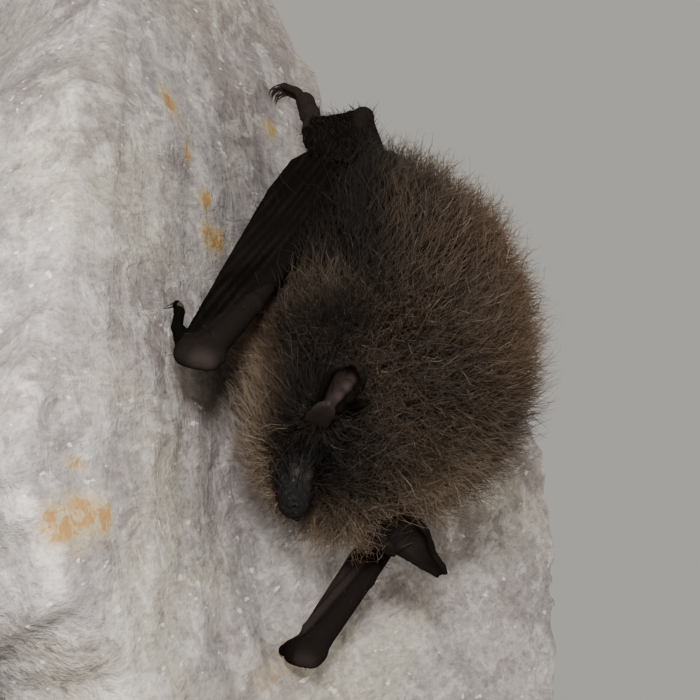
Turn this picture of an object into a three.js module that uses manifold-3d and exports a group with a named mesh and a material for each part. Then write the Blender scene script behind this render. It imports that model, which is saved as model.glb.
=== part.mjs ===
// A whiskered bat asleep on a piece of cave wall, held by a plain display stand.
// Millimetres, +Z up. The bat hangs head down in front of the wall's face, which is the
// plane y = 0: its back is towards -Y and its right side towards -X. The origin is the
// centre of the stand's underside.

import * as THREE from 'three';
import { mergeVertices } from 'three/addons/utils/BufferGeometryUtils.js';
import Module from 'manifold-3d';

const wasm = await Module();
wasm.setup();

const V = (x, y, z) => new THREE.Vector3(x, y, z);

// ---------------------------------------------------------------- driving dimensions

const GAP = 0.3; // between touching pieces
const GRIP_HEIGHT = 160; // hind claws above the table

// The bat, measured from the point of the wall between its hind claws, z = 0 there.
const FOREARM = 34.5;
const SHIN = 15.3;
const EAR = 12.5;
const TRAGUS = 6.6;
const THUMB_RADIUS = 0.55;
const SHEET = 0.7; // thickness of bare wing and tail membrane
const EYE_RADIUS = 0.62;

// Outer form of the fluffed coat: body, and the ruff over shoulders, throat and left cheek.
const BODY = { centre: V(-0.3, -12.1, -34.2), axes: V(15.4, 12.9, 20), tilt: 0.164, taper: 0.16 };
const RUFF = { centre: V(0.6, -8.2, -45), axes: V(12.2, 8.8, 8.4) };
const CHEEK = { centre: V(5.0, -8.4, -48.6), axes: V(6.3, 6.3, 6.2) };
const COAT_BLEND = 4;
const CHEEK_BLEND = 2.2;

// Head, in its own lengths along and across the line from nose to nape.
const NOSE = V(-1.08, -4.9, -59.3);
const HEAD_AHEAD = V(0.085, 0, -0.996); // from nape to nose
const HEAD_UP = V(0.073, -0.997, 0.006); // towards the crown
const HEAD_RIGHT = V(-0.994, -0.073, -0.085);
const LOBE = { back: 10.4, up: 1.7, across: 4.9, high: 4.8, long: 6.2 };
const MUZZLE = { back: 6, up: 0.8, rear: 2.25, front: 1.15 };

// The wall and the stand.
const WALL = { width: 84, height: 116, depth: 21, middle: V(6, 0, -32) };
const NICHE = { x: 4, z: -52, wide: 16, tall: 20, deep: 2.6 };
const FLANK = { start: 18, end: 48, rise: 17 };
const LUMP = 0.95; // height of the broken lumps on the wall's back
const BASE = { width: 104, depth: 88, height: 7, corner: 9 };
const ROD = { radius: 3, x: 19, y: 13, bottomHole: 4, topHole: 9 };

// ---------------------------------------------------------------- making solids

/** A closed geometry as a solid that can be joined and cut. */
function toSolid(geometry) {
  const bare = geometry.clone();
  bare.deleteAttribute('normal');
  bare.deleteAttribute('uv');
  const merged = mergeVertices(bare, 1e-4);
  return new wasm.Manifold(new wasm.Mesh({
    numProp: 3,
    vertProperties: new Float32Array(merged.attributes.position.array),
    triVerts: new Uint32Array(merged.index.array),
  }));
}

/** The geometry of a solid. */
function toGeometry(solid) {
  const mesh = solid.getMesh();
  const geometry = new THREE.BufferGeometry();
  geometry.setAttribute('position', new THREE.BufferAttribute(mesh.vertProperties, 3));
  geometry.setIndex(new THREE.BufferAttribute(mesh.triVerts, 1));
  return geometry;
}

/** A geometry with each of its points moved by a rule. */
function bend(geometry, rule) {
  const position = geometry.attributes.position;
  const point = V(0, 0, 0);
  for (let i = 0; i < position.count; i += 1) {
    const moved = rule(point.fromBufferAttribute(position, i));
    position.setXYZ(i, moved.x, moved.y, moved.z);
  }
  return geometry;
}

/** One solid from several that overlap. */
const join = (...solids) => solids.reduce((whole, next) => whole.add(next));

/** A solid with others cut out of it, keeping only its largest piece. */
function carve(solid, ...others) {
  const left = others.reduce((whole, other) => whole.subtract(other), solid);
  return left.decompose().sort((a, b) => b.volume() - a.volume())[0];
}

const mix = THREE.MathUtils.lerp;
const smooth = THREE.MathUtils.smoothstep;

/** Smooth least of two distances. */
function blend(a, b, width) {
  const share = THREE.MathUtils.clamp(0.5 + (b - a) / (2 * width), 0, 1);
  return mix(b, a, share) - width * share * (1 - share);
}

/** Distance, near the surface, from an egg that is tilted about X and tapers upwards. */
function eggDistance(point, { centre, axes, tilt = 0, taper = 0 }) {
  const q = point.clone().sub(centre).applyAxisAngle(V(1, 0, 0), tilt).divide(axes);
  const narrow = 1 + taper * Math.max(q.z, 0) ** 2;
  return (q.multiply(V(narrow, narrow, 1)).length() - 1) * Math.min(axes.x, axes.y, axes.z);
}

/** Distance from a round bar whose radius changes from one end to the other. */
function barDistance(point, start, end, startRadius, endRadius) {
  const along = end.clone().sub(start);
  const share = point.clone().sub(start).dot(along) / along.lengthSq();
  const t = THREE.MathUtils.clamp(share, 0, 1);
  const nearest = start.clone().addScaledVector(along, t);
  return point.distanceTo(nearest) - mix(startRadius, endRadius, t);
}

/** The surface where a distance is zero, seen from a centre, finest round its pole. */
function starSolid(distance, centre, pole, columns, rows, reach = 40) {
  const turn = new THREE.Quaternion().setFromUnitVectors(V(0, 1, 0), pole.clone().normalize());
  const sphere = new THREE.SphereGeometry(1, columns, rows);
  return toSolid(bend(sphere, (direction) => {
    const ray = direction.clone().normalize().applyQuaternion(turn);
    let inside = 0;
    let outside = reach;
    for (let step = 0; step < 24; step += 1) {
      const middle = (inside + outside) / 2;
      const point = centre.clone().addScaledVector(ray, middle);
      if (distance(point) < 0) inside = middle;
      else outside = middle;
    }
    return centre.clone().addScaledVector(ray, inside);
  }));
}

/** A ball or egg. */
function egg(centre, axes, columns = 12, rows = 8) {
  return toSolid(bend(new THREE.SphereGeometry(1, columns, rows),
    (p) => p.clone().multiply(axes).add(centre)));
}

/**
 * A limb through stations [point, half width, half thickness]. The width lies along
 * `across`; both measures flow smoothly from station to station.
 */
function limb(stations, across, { sides = 10, steps = 16, grow = 0 } = {}) {
  const path = new THREE.CatmullRomCurve3(stations.map(([point]) => point), false, 'centripetal');
  const size = new THREE.CatmullRomCurve3(
    stations.map(([, width, thickness], i) => V(width + grow, thickness + grow, i)));
  return toSolid(bend(new THREE.CylinderGeometry(1, 1, 1, sides, steps), (p) => {
    const t = p.y + 0.5;
    const centre = path.getPoint(t);
    const ahead = path.getTangent(t);
    const wide = across.clone().addScaledVector(ahead, -across.dot(ahead)).normalize();
    const thick = wide.clone().cross(ahead);
    const { x: halfWidth, y: halfThickness } = size.getPoint(t);
    const beyond = grow * Math.sign(Math.abs(p.y) > 0.499 ? p.y : 0);
    return centre.addScaledVector(wide, p.x * halfWidth)
      .addScaledVector(thick, p.z * halfThickness)
      .addScaledVector(ahead, beyond);
  }));
}

/** A thin bent sheet: place(s, q) gives its middle surface for s 0..1 and q -1..1. */
function sheet(place, thickness, { columns = 8, rows = 10 } = {}) {
  const delta = 0.01;
  return toSolid(bend(new THREE.BoxGeometry(1, 1, 1, columns, rows, 1), (p) => {
    const s = THREE.MathUtils.clamp(p.y + 0.5, 0, 1);
    const q = p.x * 2;
    const alongS = place(Math.min(s + delta, 1), q).sub(place(Math.max(s - delta, 0), q));
    const alongQ = place(s, Math.min(q + delta, 1)).sub(place(s, Math.max(q - delta, -1)));
    const normal = alongQ.cross(alongS).normalize();
    return place(s, q).addScaledVector(normal, p.z * thickness);
  }));
}

// ---------------------------------------------------------------- the lie of the wings

/** How each folded wing lies: elbow, wrist and the way its bundle of fingers is wide. */
const WINGS = {
  right: { side: -1, elbow: V(-10.2, -8.9, -25.1), reach: V(-7.2, 5.1, -33.3),
    wide: V(-0.35, 0.9, 0.25), front: [5.0, 4.8, 3.4, 2.2], top: -6.4,
    thumb: [V(-17.8, -2.2, -57.4), V(-18.2, -1.6, -55.6), V(-18.1, -1.4, -53.4),
      V(-17.9, -0.9, -51.9), V(-18.1, -0.1, -52.2)] },
  left: { side: 1, elbow: V(14.5, -15.9, -28.2), reach: V(-1.0, 14.9, -31.1),
    wide: V(-0.03, 0.88, 0.48), front: [3.0, 2.8, 2.0, 1.7], top: -6,
    thumb: [V(13.4, 0.7, -58.9), V(13.7, 1.4, -58.8), V(14.8, 1.6, -57.6),
      V(16.1, 1.4, -56), V(16.6, 1.7, -56)] },
};

const wingAhead = (wing) => wing.reach.clone().normalize();
const wingSide = (wing) => {
  const ahead = wingAhead(wing);
  return wing.wide.clone().addScaledVector(ahead, -wing.wide.dot(ahead)).normalize();
};
const onWing = (wing, along, across) => wing.elbow.clone()
  .addScaledVector(wingAhead(wing), along)
  .addScaledVector(wingSide(wing), across);

/** Room in the coat for each arm: a round bar along the outer face of the folded wing. */
const HOLLOW_RADIUS = 4.2;
const HOLLOWS = Object.values(WINGS).map((wing) => {
  const normal = wingSide(wing).cross(wingAhead(wing));
  const away = normal.multiplyScalar(HOLLOW_RADIUS * wing.side * Math.sign(normal.x));
  return { radius: HOLLOW_RADIUS, start: onWing(wing, -8, 1.6).add(away),
    end: onWing(wing, 26, 0.8).add(away) };
});

// ---------------------------------------------------------------- coat and head

/** Distance from the outer form of the coat of the body, hollowed where the arms lie on it. */
function coatDistance(point) {
  const trunk = blend(eggDistance(point, BODY), eggDistance(point, RUFF), COAT_BLEND);
  const whole = blend(trunk, eggDistance(point, CHEEK), CHEEK_BLEND);
  return HOLLOWS.reduce((form, { start, end, radius }) => (
    -blend(-form, barDistance(point, start, end, radius, radius), 1.5)), whole);
}

const coatSolid = (grow = 0) => starSolid(
  (point) => coatDistance(point) - grow, V(0, -11, -37), V(0, 0, -1), 24, 16);

/** A place on the head, from the tip of the nose. */
const onHead = (back, up, right) => NOSE.clone()
  .addScaledVector(HEAD_AHEAD, -back)
  .addScaledVector(HEAD_UP, up)
  .addScaledVector(HEAD_RIGHT, right);

const lobeCentre = onHead(LOBE.back, LOBE.up, 0);
const muzzleRear = onHead(MUZZLE.back, MUZZLE.up, 0);
const muzzleFront = onHead(MUZZLE.front, 0.1, 0);

/** Distance from the furred head with its bare muzzle, swollen by a gland on each side. */
function headDistance(point) {
  const q = point.clone().sub(lobeCentre);
  const own = V(q.dot(HEAD_RIGHT), q.dot(HEAD_UP), q.dot(HEAD_AHEAD));
  const lobe = (own.divide(V(LOBE.across, LOBE.high, LOBE.long)).length() - 1) * LOBE.high;
  const muzzle = barDistance(point, muzzleRear, muzzleFront, MUZZLE.rear, MUZZLE.front);
  const glands = Math.min(...[-1, 1].map((side) => (
    point.distanceTo(onHead(3.5, 0.75, side * 0.7)) - 1.05)));
  const chin = barDistance(point, onHead(6, -1.3, 0), onHead(2.3, -0.8, 0), 1.6, 0.7);
  return blend(blend(lobe, blend(muzzle, glands, 0.6), 1.4), chin, 0.8);
}

const headSolid = (grow = 0) => starSolid(
  (point) => headDistance(point) - grow, onHead(9, 1.1, 0), HEAD_AHEAD, 18, 16, 16);

// ---------------------------------------------------------------- ears and eyes

const eyePlace = (side) => onHead(6.2, 1.5, side * 2.5);
const eyeSolid = (side, grow = 0) => {
  const radius = EYE_RADIUS + grow;
  return egg(eyePlace(side), V(radius, radius, radius), 8, 6);
};

/** How each ear stands: its root, where its tip points and which way it opens. */
const EARS = {
  right: { side: 1, root: V(-4.4, -7.5, -52.9), tip: V(-8.67, -6.4, -6.16),
    opens: V(0.29, 0.36, -0.89), width: 2.5, curl: 1.65 },
  left: { side: -1, root: V(1.9, -7.2, -52.8), tip: V(12, -5.3, -1.7),
    opens: V(-0.04, 0.26, -0.96), width: 3.1, curl: 0.6 },
};

/** Half width of an ear from root to tip; the rear rim has a notch below the tip. */
function earHalfWidth(s, rear) {
  const leaf = (0.74 + 0.55 * s) * Math.max(1 - s ** 2.3, 0) ** 0.65;
  const notch = rear ? 0.3 * Math.exp(-(((s - 0.8) / 0.18) ** 2)) : 0;
  return Math.max(leaf - notch, 0.14);
}

/** An ear: a cupped leaf, its rims curled towards the side on which it opens. */
function earSolid({ side, root, tip, opens, width, curl }, grow = 0) {
  const along = tip.clone().normalize();
  const open = opens.clone().addScaledVector(along, -opens.dot(along)).normalize();
  const rear = along.clone().cross(open).multiplyScalar(side);
  const place = (s, q) => {
    const half = width * earHalfWidth(s, q > 0);
    const angle = q * curl;
    const bow = 0.9 * Math.sin(Math.PI * s * 0.8);
    return root.clone()
      .addScaledVector(along, s * EAR)
      .addScaledVector(rear, half * Math.sin(angle) / curl)
      .addScaledVector(open, half * (1 - Math.cos(angle)) / curl - bow);
  };
  return sheet(place, 0.62 + 2 * grow, { columns: 8, rows: 8 });
}

/** The tragus: a slender pointed leaf that stands in the mouth of the ear. */
function tragusSolid({ side, root, tip, opens }, grow = 0) {
  const along = tip.clone().normalize();
  const open = opens.clone().addScaledVector(along, -opens.dot(along)).normalize();
  const rear = along.clone().cross(open).multiplyScalar(side);
  const foot = root.clone().addScaledVector(open, 1.15).addScaledVector(rear, -0.5);
  const at = (share, lean) => foot.clone()
    .addScaledVector(along, share * TRAGUS)
    .addScaledVector(open, lean);
  return limb([[at(0, 0), 1.0, 0.3], [at(0.4, 0.25), 0.85, 0.28],
    [at(0.75, 0.35), 0.5, 0.26], [at(1, 0.3), 0.25, 0.25]], rear, { sides: 6, steps: 5, grow });
}

// ---------------------------------------------------------------- wings

/** The forearm, from the elbow to the rounded heel of the wrist. */
function forearmSolid(wing, grow = 0) {
  const at = (along, across) => onWing(wing, along, across);
  return limb([[at(-1.2, -0.9), 0.9, 0.9], [at(2, -1), 1.05, 1.0], [at(12, -1.05), 0.85, 0.85],
    [at(26, -0.9), 0.85, 0.85], [at(FOREARM - 1.4, -0.4), 1.35, 1.1],
    [at(FOREARM + 0.9, 0), 2.0, 1.15], [at(FOREARM + 1.9, 0), 1.0, 0.7]],
  wingSide(wing), { sides: 7, steps: 12, grow });
}

/** The four long fingers folded back along the forearm, with the membrane pleated between. */
function fingerSolid(wing, grow = 0) {
  const [tip, upper, middle, wrist] = wing.front;
  const station = (along, front, thickness) => {
    const rear = -0.4;
    return [onWing(wing, along, (front + rear) / 2), (front - rear) / 2, thickness];
  };
  return limb([station(wing.top, tip * 0.86, 0.45), station(wing.top + 3, tip, 0.7),
    station(4, upper, 1.0), station(19, middle, 1.05), station(FOREARM - 3, wrist, 1.0),
    station(FOREARM + 0.6, wrist * 0.9, 0.8)],
  wingSide(wing), { sides: 8, steps: 10, grow });
}

/** The thumb, raised from the wrist to its hooked claw on the wall. */
function thumbSolid(wing, grow = 0) {
  const width = [1.3, 1, 0.9, 0.7, 0.25];
  return limb(wing.thumb.map((point, i) => [point, THUMB_RADIUS * width[i],
    THUMB_RADIUS * width[i]]), wingSide(wing), { sides: 7, steps: 8, grow });
}

// ---------------------------------------------------------------- legs and tail

/** How each leg lies: ankle, knee, the claws' hold and the lower hem of its flank membrane. */
const LEGS = {
  right: { side: -1, knee: V(-12.1, -12.2, -17.3), ankle: V(-7.2, -4.2, -5.4),
    hold: V(-8.5, 0, 0.6), hem: [V(-9.3, -11, -24.6), V(-11.6, -12.6, -22)] },
  left: { side: 1, knee: V(11.8, -12.6, -17.0), ankle: V(6.9, -4.4, -5.4),
    hold: V(8.2, 0, 0.8), hem: [V(13.2, -9.5, -23.5), V(13.2, -15.2, -20.5)] },
};

/** The shin, from the knee's knob to the heel. */
function shinSolid({ knee, ankle }, grow = 0) {
  const ahead = ankle.clone().sub(knee).normalize();
  const at = (along) => knee.clone().addScaledVector(ahead, along);
  return limb([[at(-1.3), 0.8, 0.8], [at(0), 1.15, 1.1], [at(3), 0.75, 0.75],
    [at(SHIN - 4), 0.55, 0.55], [at(SHIN - 0.6), 0.8, 0.75]],
  V(1, 0, 0), { sides: 8, steps: 9, grow });
}

/** A foot: sole, heel, and five toes pressed together whose claws hook over the rock. */
function footSolid({ side, ankle, hold }, grow = 0) {
  const abreast = V(0.9 * side, 0, -0.42);
  const at = (share, out, lift) => ankle.clone().lerp(hold, share).add(V(0, -out, lift));
  const toe = (index) => {
    const spread = abreast.clone().multiplyScalar((index - 2) * 0.42);
    const rise = 1.5 - 0.1 * (index - 2) ** 2;
    const joint = (point, share) => point.add(spread.clone().multiplyScalar(share));
    return limb([[joint(at(0.45, 1.5, 0.7), 0.6), 0.45, 0.45],
      [joint(at(0.8, 1.8, rise * 0.8), 0.8), 0.42, 0.42],
      [joint(at(1, 1.2, rise), 1), 0.36, 0.36],
      [joint(at(1, 0.4, rise * 0.7), 1.05), 0.27, 0.28],
      [joint(at(1, 0.02, 0), 1.1), 0.25, 0.25]],
    V(1, 0, 0), { sides: 5, steps: 4, grow });
  };
  const sole = limb([[at(0, 0.2, -0.4), 0.8, 0.75], [at(0.25, 0.8, 0.1), 0.75, 0.7],
    [at(0.6, 1.5, 0.7), 1.05, 0.65]], V(1, 0, 0), { sides: 7, steps: 4, grow });
  const heel = egg(at(0, 1.1, -0.9), V(0.75, 0.75, 0.75).addScalar(grow), 7, 5);
  return join(sole, heel, ...[0, 1, 2, 3, 4].map(toe));
}

/** The tail's line: up from the rump, over between the shins and down behind the belly. */
const TAIL = new THREE.CatmullRomCurve3([V(0, -13.5, -17.5), V(0, -13.2, -10),
  V(0, -11, -4.2), V(0, -7.6, -1.8), V(0, -4.3, -3.6), V(0, -2.6, -8), V(0, -2.2, -12.5)]);

function tailSolid(grow = 0) {
  const shares = [0, 0.25, 0.5, 0.75, 1];
  return limb(shares.map((share) => [TAIL.getPoint(share),
    mix(0.85, 0.4, share), mix(0.85, 0.4, share)]), V(1, 0, 0), { sides: 6, steps: 12, grow });
}

/** The tail membrane: slung between the shins and carried over the bend of the tail. */
function tailSheetSolid() {
  const reach = 0.86;
  const place = (s, q) => {
    const middle = TAIL.getPoint(0.04 + s * reach).add(V(0, 0.1, -0.75 * Math.sin(Math.PI * s)));
    const leg = q < 0 ? LEGS.right : LEGS.left;
    const share = Math.min(s * 1.9, 1);
    const edge = leg.knee.clone().lerp(leg.ankle, 0.06 + 0.86 * share);
    const tuck = smooth(s, 0.5, 1);
    edge.lerp(V(leg.side * 3.4, -2.6, -11), tuck * 0.9);
    edge.x -= leg.side * 0.9;
    const side = Math.abs(q);
    const sag = 0.9 * Math.sin(Math.PI * side) * (1 - tuck);
    return middle.lerp(edge, side ** 1.15).add(V(0, sag, 0));
  };
  return sheet(place, SHEET, { columns: 6, rows: 7 });
}

/** A point moved straight out from the body's middle until it clears the coat. */
function overCoat(point, lift) {
  const out = point.clone().sub(BODY.centre).normalize().multiplyScalar(0.25);
  const moved = point.clone();
  while (coatDistance(moved) < lift) moved.add(out);
  return moved;
}

/** The flank membrane: from the shin to the forearm, draped over the side of the rump. */
function sideSheetSolid({ side, ankle, knee, hem }) {
  const atAnkle = ankle.clone().add(V(side * 0.2, 0.1, -2.2));
  const atKnee = knee.clone().lerp(ankle, 0.1).add(V(side * 0.2, 0, -1.9));
  const place = (s, q) => {
    const across = (q + 1) / 2;
    const upper = atAnkle.clone().lerp(atKnee, across);
    const lower = hem[0].clone().lerp(hem[1], across);
    const pleat = 0.3 * Math.sin(across * 3 * Math.PI) * Math.sin(Math.PI * s);
    return overCoat(upper.lerp(lower, s), GAP + SHEET).add(V(side * pleat, 0, 0));
  };
  return sheet(place, SHEET, { columns: 6, rows: 5 });
}

// ---------------------------------------------------------------- wall and stand

/** How far forward or back the wall's broken face stands at a place on it. */
function wallFace(x, z) {
  const niche = NICHE.deep
    * Math.exp(-(((x - NICHE.x) / NICHE.wide) ** 2) - ((z - NICHE.z) / NICHE.tall) ** 2);
  const flank = FLANK.rise * smooth(x, FLANK.start, FLANK.end) * mix(0.8, 1, smooth(z, -80, 0));
  const ripple = 0.22 * (2 + Math.sin(x * 0.33 + z * 0.12) + Math.sin(z * 0.21 - x * 0.17 + 2));
  return 0.35 + niche - flank + ripple * 0.6;
}

/** The piece of wall: a slab with a ragged, rounded outline and a rough back. */
function wallSolid() {
  const slab = new THREE.BoxGeometry(2, 1, 2, 12, 2, 14);
  const solid = toSolid(bend(slab, (p) => {
    const [u, v] = [p.x, p.z];
    const ragged = 1 + 0.035 * Math.sin(3.7 * v + 1.1) + 0.02 * Math.sin(9.1 * v - 4.3 * u)
      + 0.012 * Math.sin(16 * v + 0.4);
    const broken = 1 + 0.03 * Math.sin(4.3 * u + 0.6) + 0.018 * Math.sin(10.7 * u + 3.1 * v);
    const depthShare = p.y + 0.5;
    const taper = 1 - 0.1 * depthShare ** 2 - 0.035 * (1 - depthShare) ** 4;
    const x = WALL.middle.x + WALL.width / 2 * u * Math.sqrt(1 - 0.3 * v * v) * ragged * taper;
    const z = WALL.middle.z + WALL.height / 2 * v * Math.sqrt(1 - 0.26 * u * u) * broken * taper;
    const lumps = Math.sin(x * 0.27 + z * 0.11 + 0.5) + Math.sin(z * 0.26 - x * 0.12 + 2);
    const back = WALL.depth + 1.6 * Math.sin(x * 0.11 + 1) + 1.4 * Math.cos(z * 0.09)
      - 4 * (u ** 4 + v ** 4) + LUMP * lumps * (1 - v ** 4);
    return V(x, mix(wallFace(x, z), back, depthShare), z);
  }));
  return solid;
}

/** An upright rod between two heights. */
function rodSolid(x, bottom, top, radius) {
  const rod = new THREE.CylinderGeometry(radius, radius, top - bottom, 24);
  rod.rotateX(Math.PI / 2);
  rod.translate(x, ROD.y, (bottom + top) / 2);
  return toSolid(rod);
}

/** The stand's flat plate, with round corners and a chamfered upper edge. */
function baseSolid() {
  const { width, depth, height, corner } = BASE;
  const [w, d] = [width / 2, depth / 2];
  const outline = new THREE.Shape();
  outline.absarc(w - corner, d - corner, corner, 0, Math.PI / 2);
  outline.absarc(corner - w, d - corner, corner, Math.PI / 2, Math.PI);
  outline.absarc(corner - w, corner - d, corner, Math.PI, 1.5 * Math.PI);
  outline.absarc(w - corner, corner - d, corner, 1.5 * Math.PI, 2 * Math.PI);
  const chamfer = 1.2;
  const plate = new THREE.ExtrudeGeometry(outline, { depth: height, bevelEnabled: false,
    curveSegments: 6 });
  const upper = new THREE.Vector2(1 - chamfer / w, 1 - chamfer / d);
  return toSolid(bend(plate, (p) => (p.z < height ? p.clone()
    : V(p.x * upper.x, p.y * upper.y, height))));
}

// ---------------------------------------------------------------- materials

const finish = (color, roughness, metalness = 0) => (
  new THREE.MeshStandardMaterial({ color, roughness, metalness }));
const FUR = finish(0x4a3a2c, 0.95);
const BARE_SKIN = finish(0x1f1a18, 0.6);
const EAR_SKIN = finish(0x2a2220, 0.6);
const EYE_BLACK = finish(0x050404, 0.12);
const ROCK = finish(0x9c968c, 0.9);
const STAND_METAL = finish(0x2c2d2f, 0.45, 0.6);

// ---------------------------------------------------------------- the object

const object = new THREE.Group();
const bat = new THREE.Group();
bat.position.z = GRIP_HEIGHT;
object.add(bat);

/** Put a solid in a group as a named mesh. */
function put(group, name, solid, material) {
  const mesh = new THREE.Mesh(toGeometry(solid), material);
  mesh.name = name;
  group.add(mesh);
}

const SIDES = ['right', 'left'];
const ears = SIDES.map((side) => EARS[side]);
const wings = SIDES.map((side) => WINGS[side]);
const legs = SIDES.map((side) => LEGS[side]);

const coatRoom = coatSolid(GAP);
const headRoom = headSolid(GAP);
const forearmRooms = wings.map((wing) => forearmSolid(wing, GAP));
const thumbRooms = wings.map((wing) => thumbSolid(wing, GAP));
const fingerRooms = wings.map((wing) => fingerSolid(wing, GAP));
const shinRooms = legs.map((leg) => shinSolid(leg, GAP));
const footRooms = legs.map((leg) => footSolid(leg, GAP));
const tragusRooms = ears.map((ear) => tragusSolid(ear, GAP));
const eyeRooms = ears.map(({ side }) => eyeSolid(side, GAP));
const tailRoom = tailSolid(GAP);

put(bat, 'trunk', carve(coatSolid(), headRoom, ...forearmRooms, ...fingerRooms,
  ...tragusRooms), FUR);
put(bat, 'head', carve(headSolid(), ...eyeRooms), FUR);
put(bat, 'tail', carve(tailSolid(), coatRoom), BARE_SKIN);
put(bat, 'tail_membrane', carve(tailSheetSolid(), coatRoom, tailRoom, ...shinRooms,
  ...footRooms), BARE_SKIN);

SIDES.forEach((side, i) => {
  put(bat, `eye_${side}`, eyeSolid(ears[i].side), EYE_BLACK);
  put(bat, `ear_${side}`, carve(earSolid(ears[i]), headRoom, coatRoom,
    tragusRooms[i]), EAR_SKIN);
  put(bat, `tragus_${side}`, carve(tragusSolid(ears[i]), headRoom), EAR_SKIN);
  put(bat, `forearm_${side}`, forearmSolid(wings[i]), BARE_SKIN);
  put(bat, `wing_${side}`, carve(fingerSolid(wings[i]), forearmRooms[i], thumbRooms[i]),
    BARE_SKIN);
  put(bat, `thumb_${side}`, carve(thumbSolid(wings[i]), forearmRooms[i]), BARE_SKIN);
  put(bat, `shin_${side}`, carve(shinSolid(legs[i]), footRooms[i], coatRoom), BARE_SKIN);
  put(bat, `foot_${side}`, footSolid(legs[i]), BARE_SKIN);
  put(bat, `side_membrane_${side}`, carve(sideSheetSolid(legs[i]), coatRoom,
    shinRooms[i], footRooms[i], fingerRooms[i], forearmRooms[i]), BARE_SKIN);
});

const wallBottom = GRIP_HEIGHT + WALL.middle.z - WALL.height / 2;
const rodTop = wallBottom + ROD.topHole;
const rodBottom = BASE.height - ROD.bottomHole;
const rodPlaces = [-ROD.x + WALL.middle.x, ROD.x + WALL.middle.x];
const rodHoles = rodPlaces.map((x) => (
  rodSolid(x, rodBottom - GAP, rodTop + GAP, ROD.radius + GAP)));

put(object, 'perch_rock', carve(wallSolid().translate([0, 0, GRIP_HEIGHT]), ...rodHoles), ROCK);
put(object, 'stand_base', carve(baseSolid(), ...rodHoles), STAND_METAL);
rodPlaces.forEach((x, i) => (
  put(object, `stand_rod_${i + 1}`, rodSolid(x, rodBottom, rodTop, ROD.radius), STAND_METAL)));

export default object;
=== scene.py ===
"""Looks of a life-size museum model: a whiskered bat asleep, head down, on a piece of cave wall.

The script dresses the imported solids. One skin replaces the solids of flesh and is worked out
from distances to eggs, bars and bent leaves, so that it has no seam. The coat is mesh hairs
rooted on that skin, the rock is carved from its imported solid, and the stand keeps its own.

The bat is worked out in millimetres from the place on the wall between its hind claws: +Z up,
the wall's face near y = 0, the bat in front of it at y < 0, and its right side towards -X.
Distances are below zero inside a form, and hold near its surface.
"""

import math

import bmesh
import bpy
import numpy as np
from bpy.props import FloatProperty, FloatVectorProperty, IntProperty, PointerProperty
from mathutils import Matrix, Vector
from mathutils.kdtree import KDTree


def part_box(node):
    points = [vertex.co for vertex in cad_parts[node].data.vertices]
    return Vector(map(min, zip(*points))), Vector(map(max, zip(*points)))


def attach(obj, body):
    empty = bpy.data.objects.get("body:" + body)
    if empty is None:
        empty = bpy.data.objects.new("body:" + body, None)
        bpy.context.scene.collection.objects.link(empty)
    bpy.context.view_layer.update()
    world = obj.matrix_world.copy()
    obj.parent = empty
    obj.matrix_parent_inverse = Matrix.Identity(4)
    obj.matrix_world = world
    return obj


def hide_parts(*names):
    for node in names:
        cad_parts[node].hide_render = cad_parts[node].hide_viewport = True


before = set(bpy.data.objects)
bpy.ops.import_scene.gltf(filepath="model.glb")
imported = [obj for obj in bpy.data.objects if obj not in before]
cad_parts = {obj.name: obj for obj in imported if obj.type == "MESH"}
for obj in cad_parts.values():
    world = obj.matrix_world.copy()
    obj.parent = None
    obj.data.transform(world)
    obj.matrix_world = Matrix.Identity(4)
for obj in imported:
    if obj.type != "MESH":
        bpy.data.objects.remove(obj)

bl_info = {
    "name": "Sleeping Bat Museum Model",
    "version": (1, 0, 0),
    "blender": (4, 5, 0),
    "location": "View3D > Sidebar > Bat",
    "description": "Skin, coat, claws, rock and stand of a sleeping whiskered bat",
    "category": "Object",
}

MILLIMETRE = 0.001
GRIP = np.array((0.0, 0.0, 160.0))  # hold of the hind claws above the table, in millimetres
FAR = 9.0  # distance that stands for anything far off
SEED = 7  # of every random choice in the coat
SIDES = {"right": -1, "left": 1}


def vec(*values):
    """A vector that sums and scales as numbers do."""
    return np.array(values, float)


# ---------------------------------------------------------------- sizes, in millimetres

COAT_BODY = dict(centre=vec(-0.3, -12.1, -34.2), axes=vec(15.4, 12.9, 20), tilt=0.164, taper=0.16)
COAT_RUFF = dict(centre=vec(0.6, -8.2, -45), axes=vec(12.2, 8.8, 8.4))
COAT_CHEEK = dict(centre=vec(5.0, -8.4, -48.6), axes=vec(6.3, 6.3, 6.2))
COAT_BLEND = 4.0  # how widely the crease between body and ruff is filled
CHEEK_BLEND = 2.2  # and the one round the cheek
HOLLOW_RADIUS = 4.2  # of the room that each arm presses into the coat
BODY_DEPTH = 4.2  # of the coat over the body, down to the skin
RUFF_DEPTH = 3.6
CHEEK_DEPTH = 3.2
HEAD_DEPTH = 1.3  # of the shorter coat over the head

NOSE = vec(-1.08, -4.9, -59.3)
HEAD_AHEAD = vec(0.085, 0, -0.996)
HEAD_UP = vec(0.073, -0.997, 0.006)
HEAD_RIGHT = vec(-0.994, -0.073, -0.085)
LOBE = dict(back=10.4, up=1.7, axes=vec(4.9, 4.8, 6.2))  # the rounded head behind the eyes
EYE_RADIUS = 0.62
EYE_BACK, EYE_UP, EYE_ASIDE = 6.2, 1.5, 2.5  # from the tip of the nose

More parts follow.
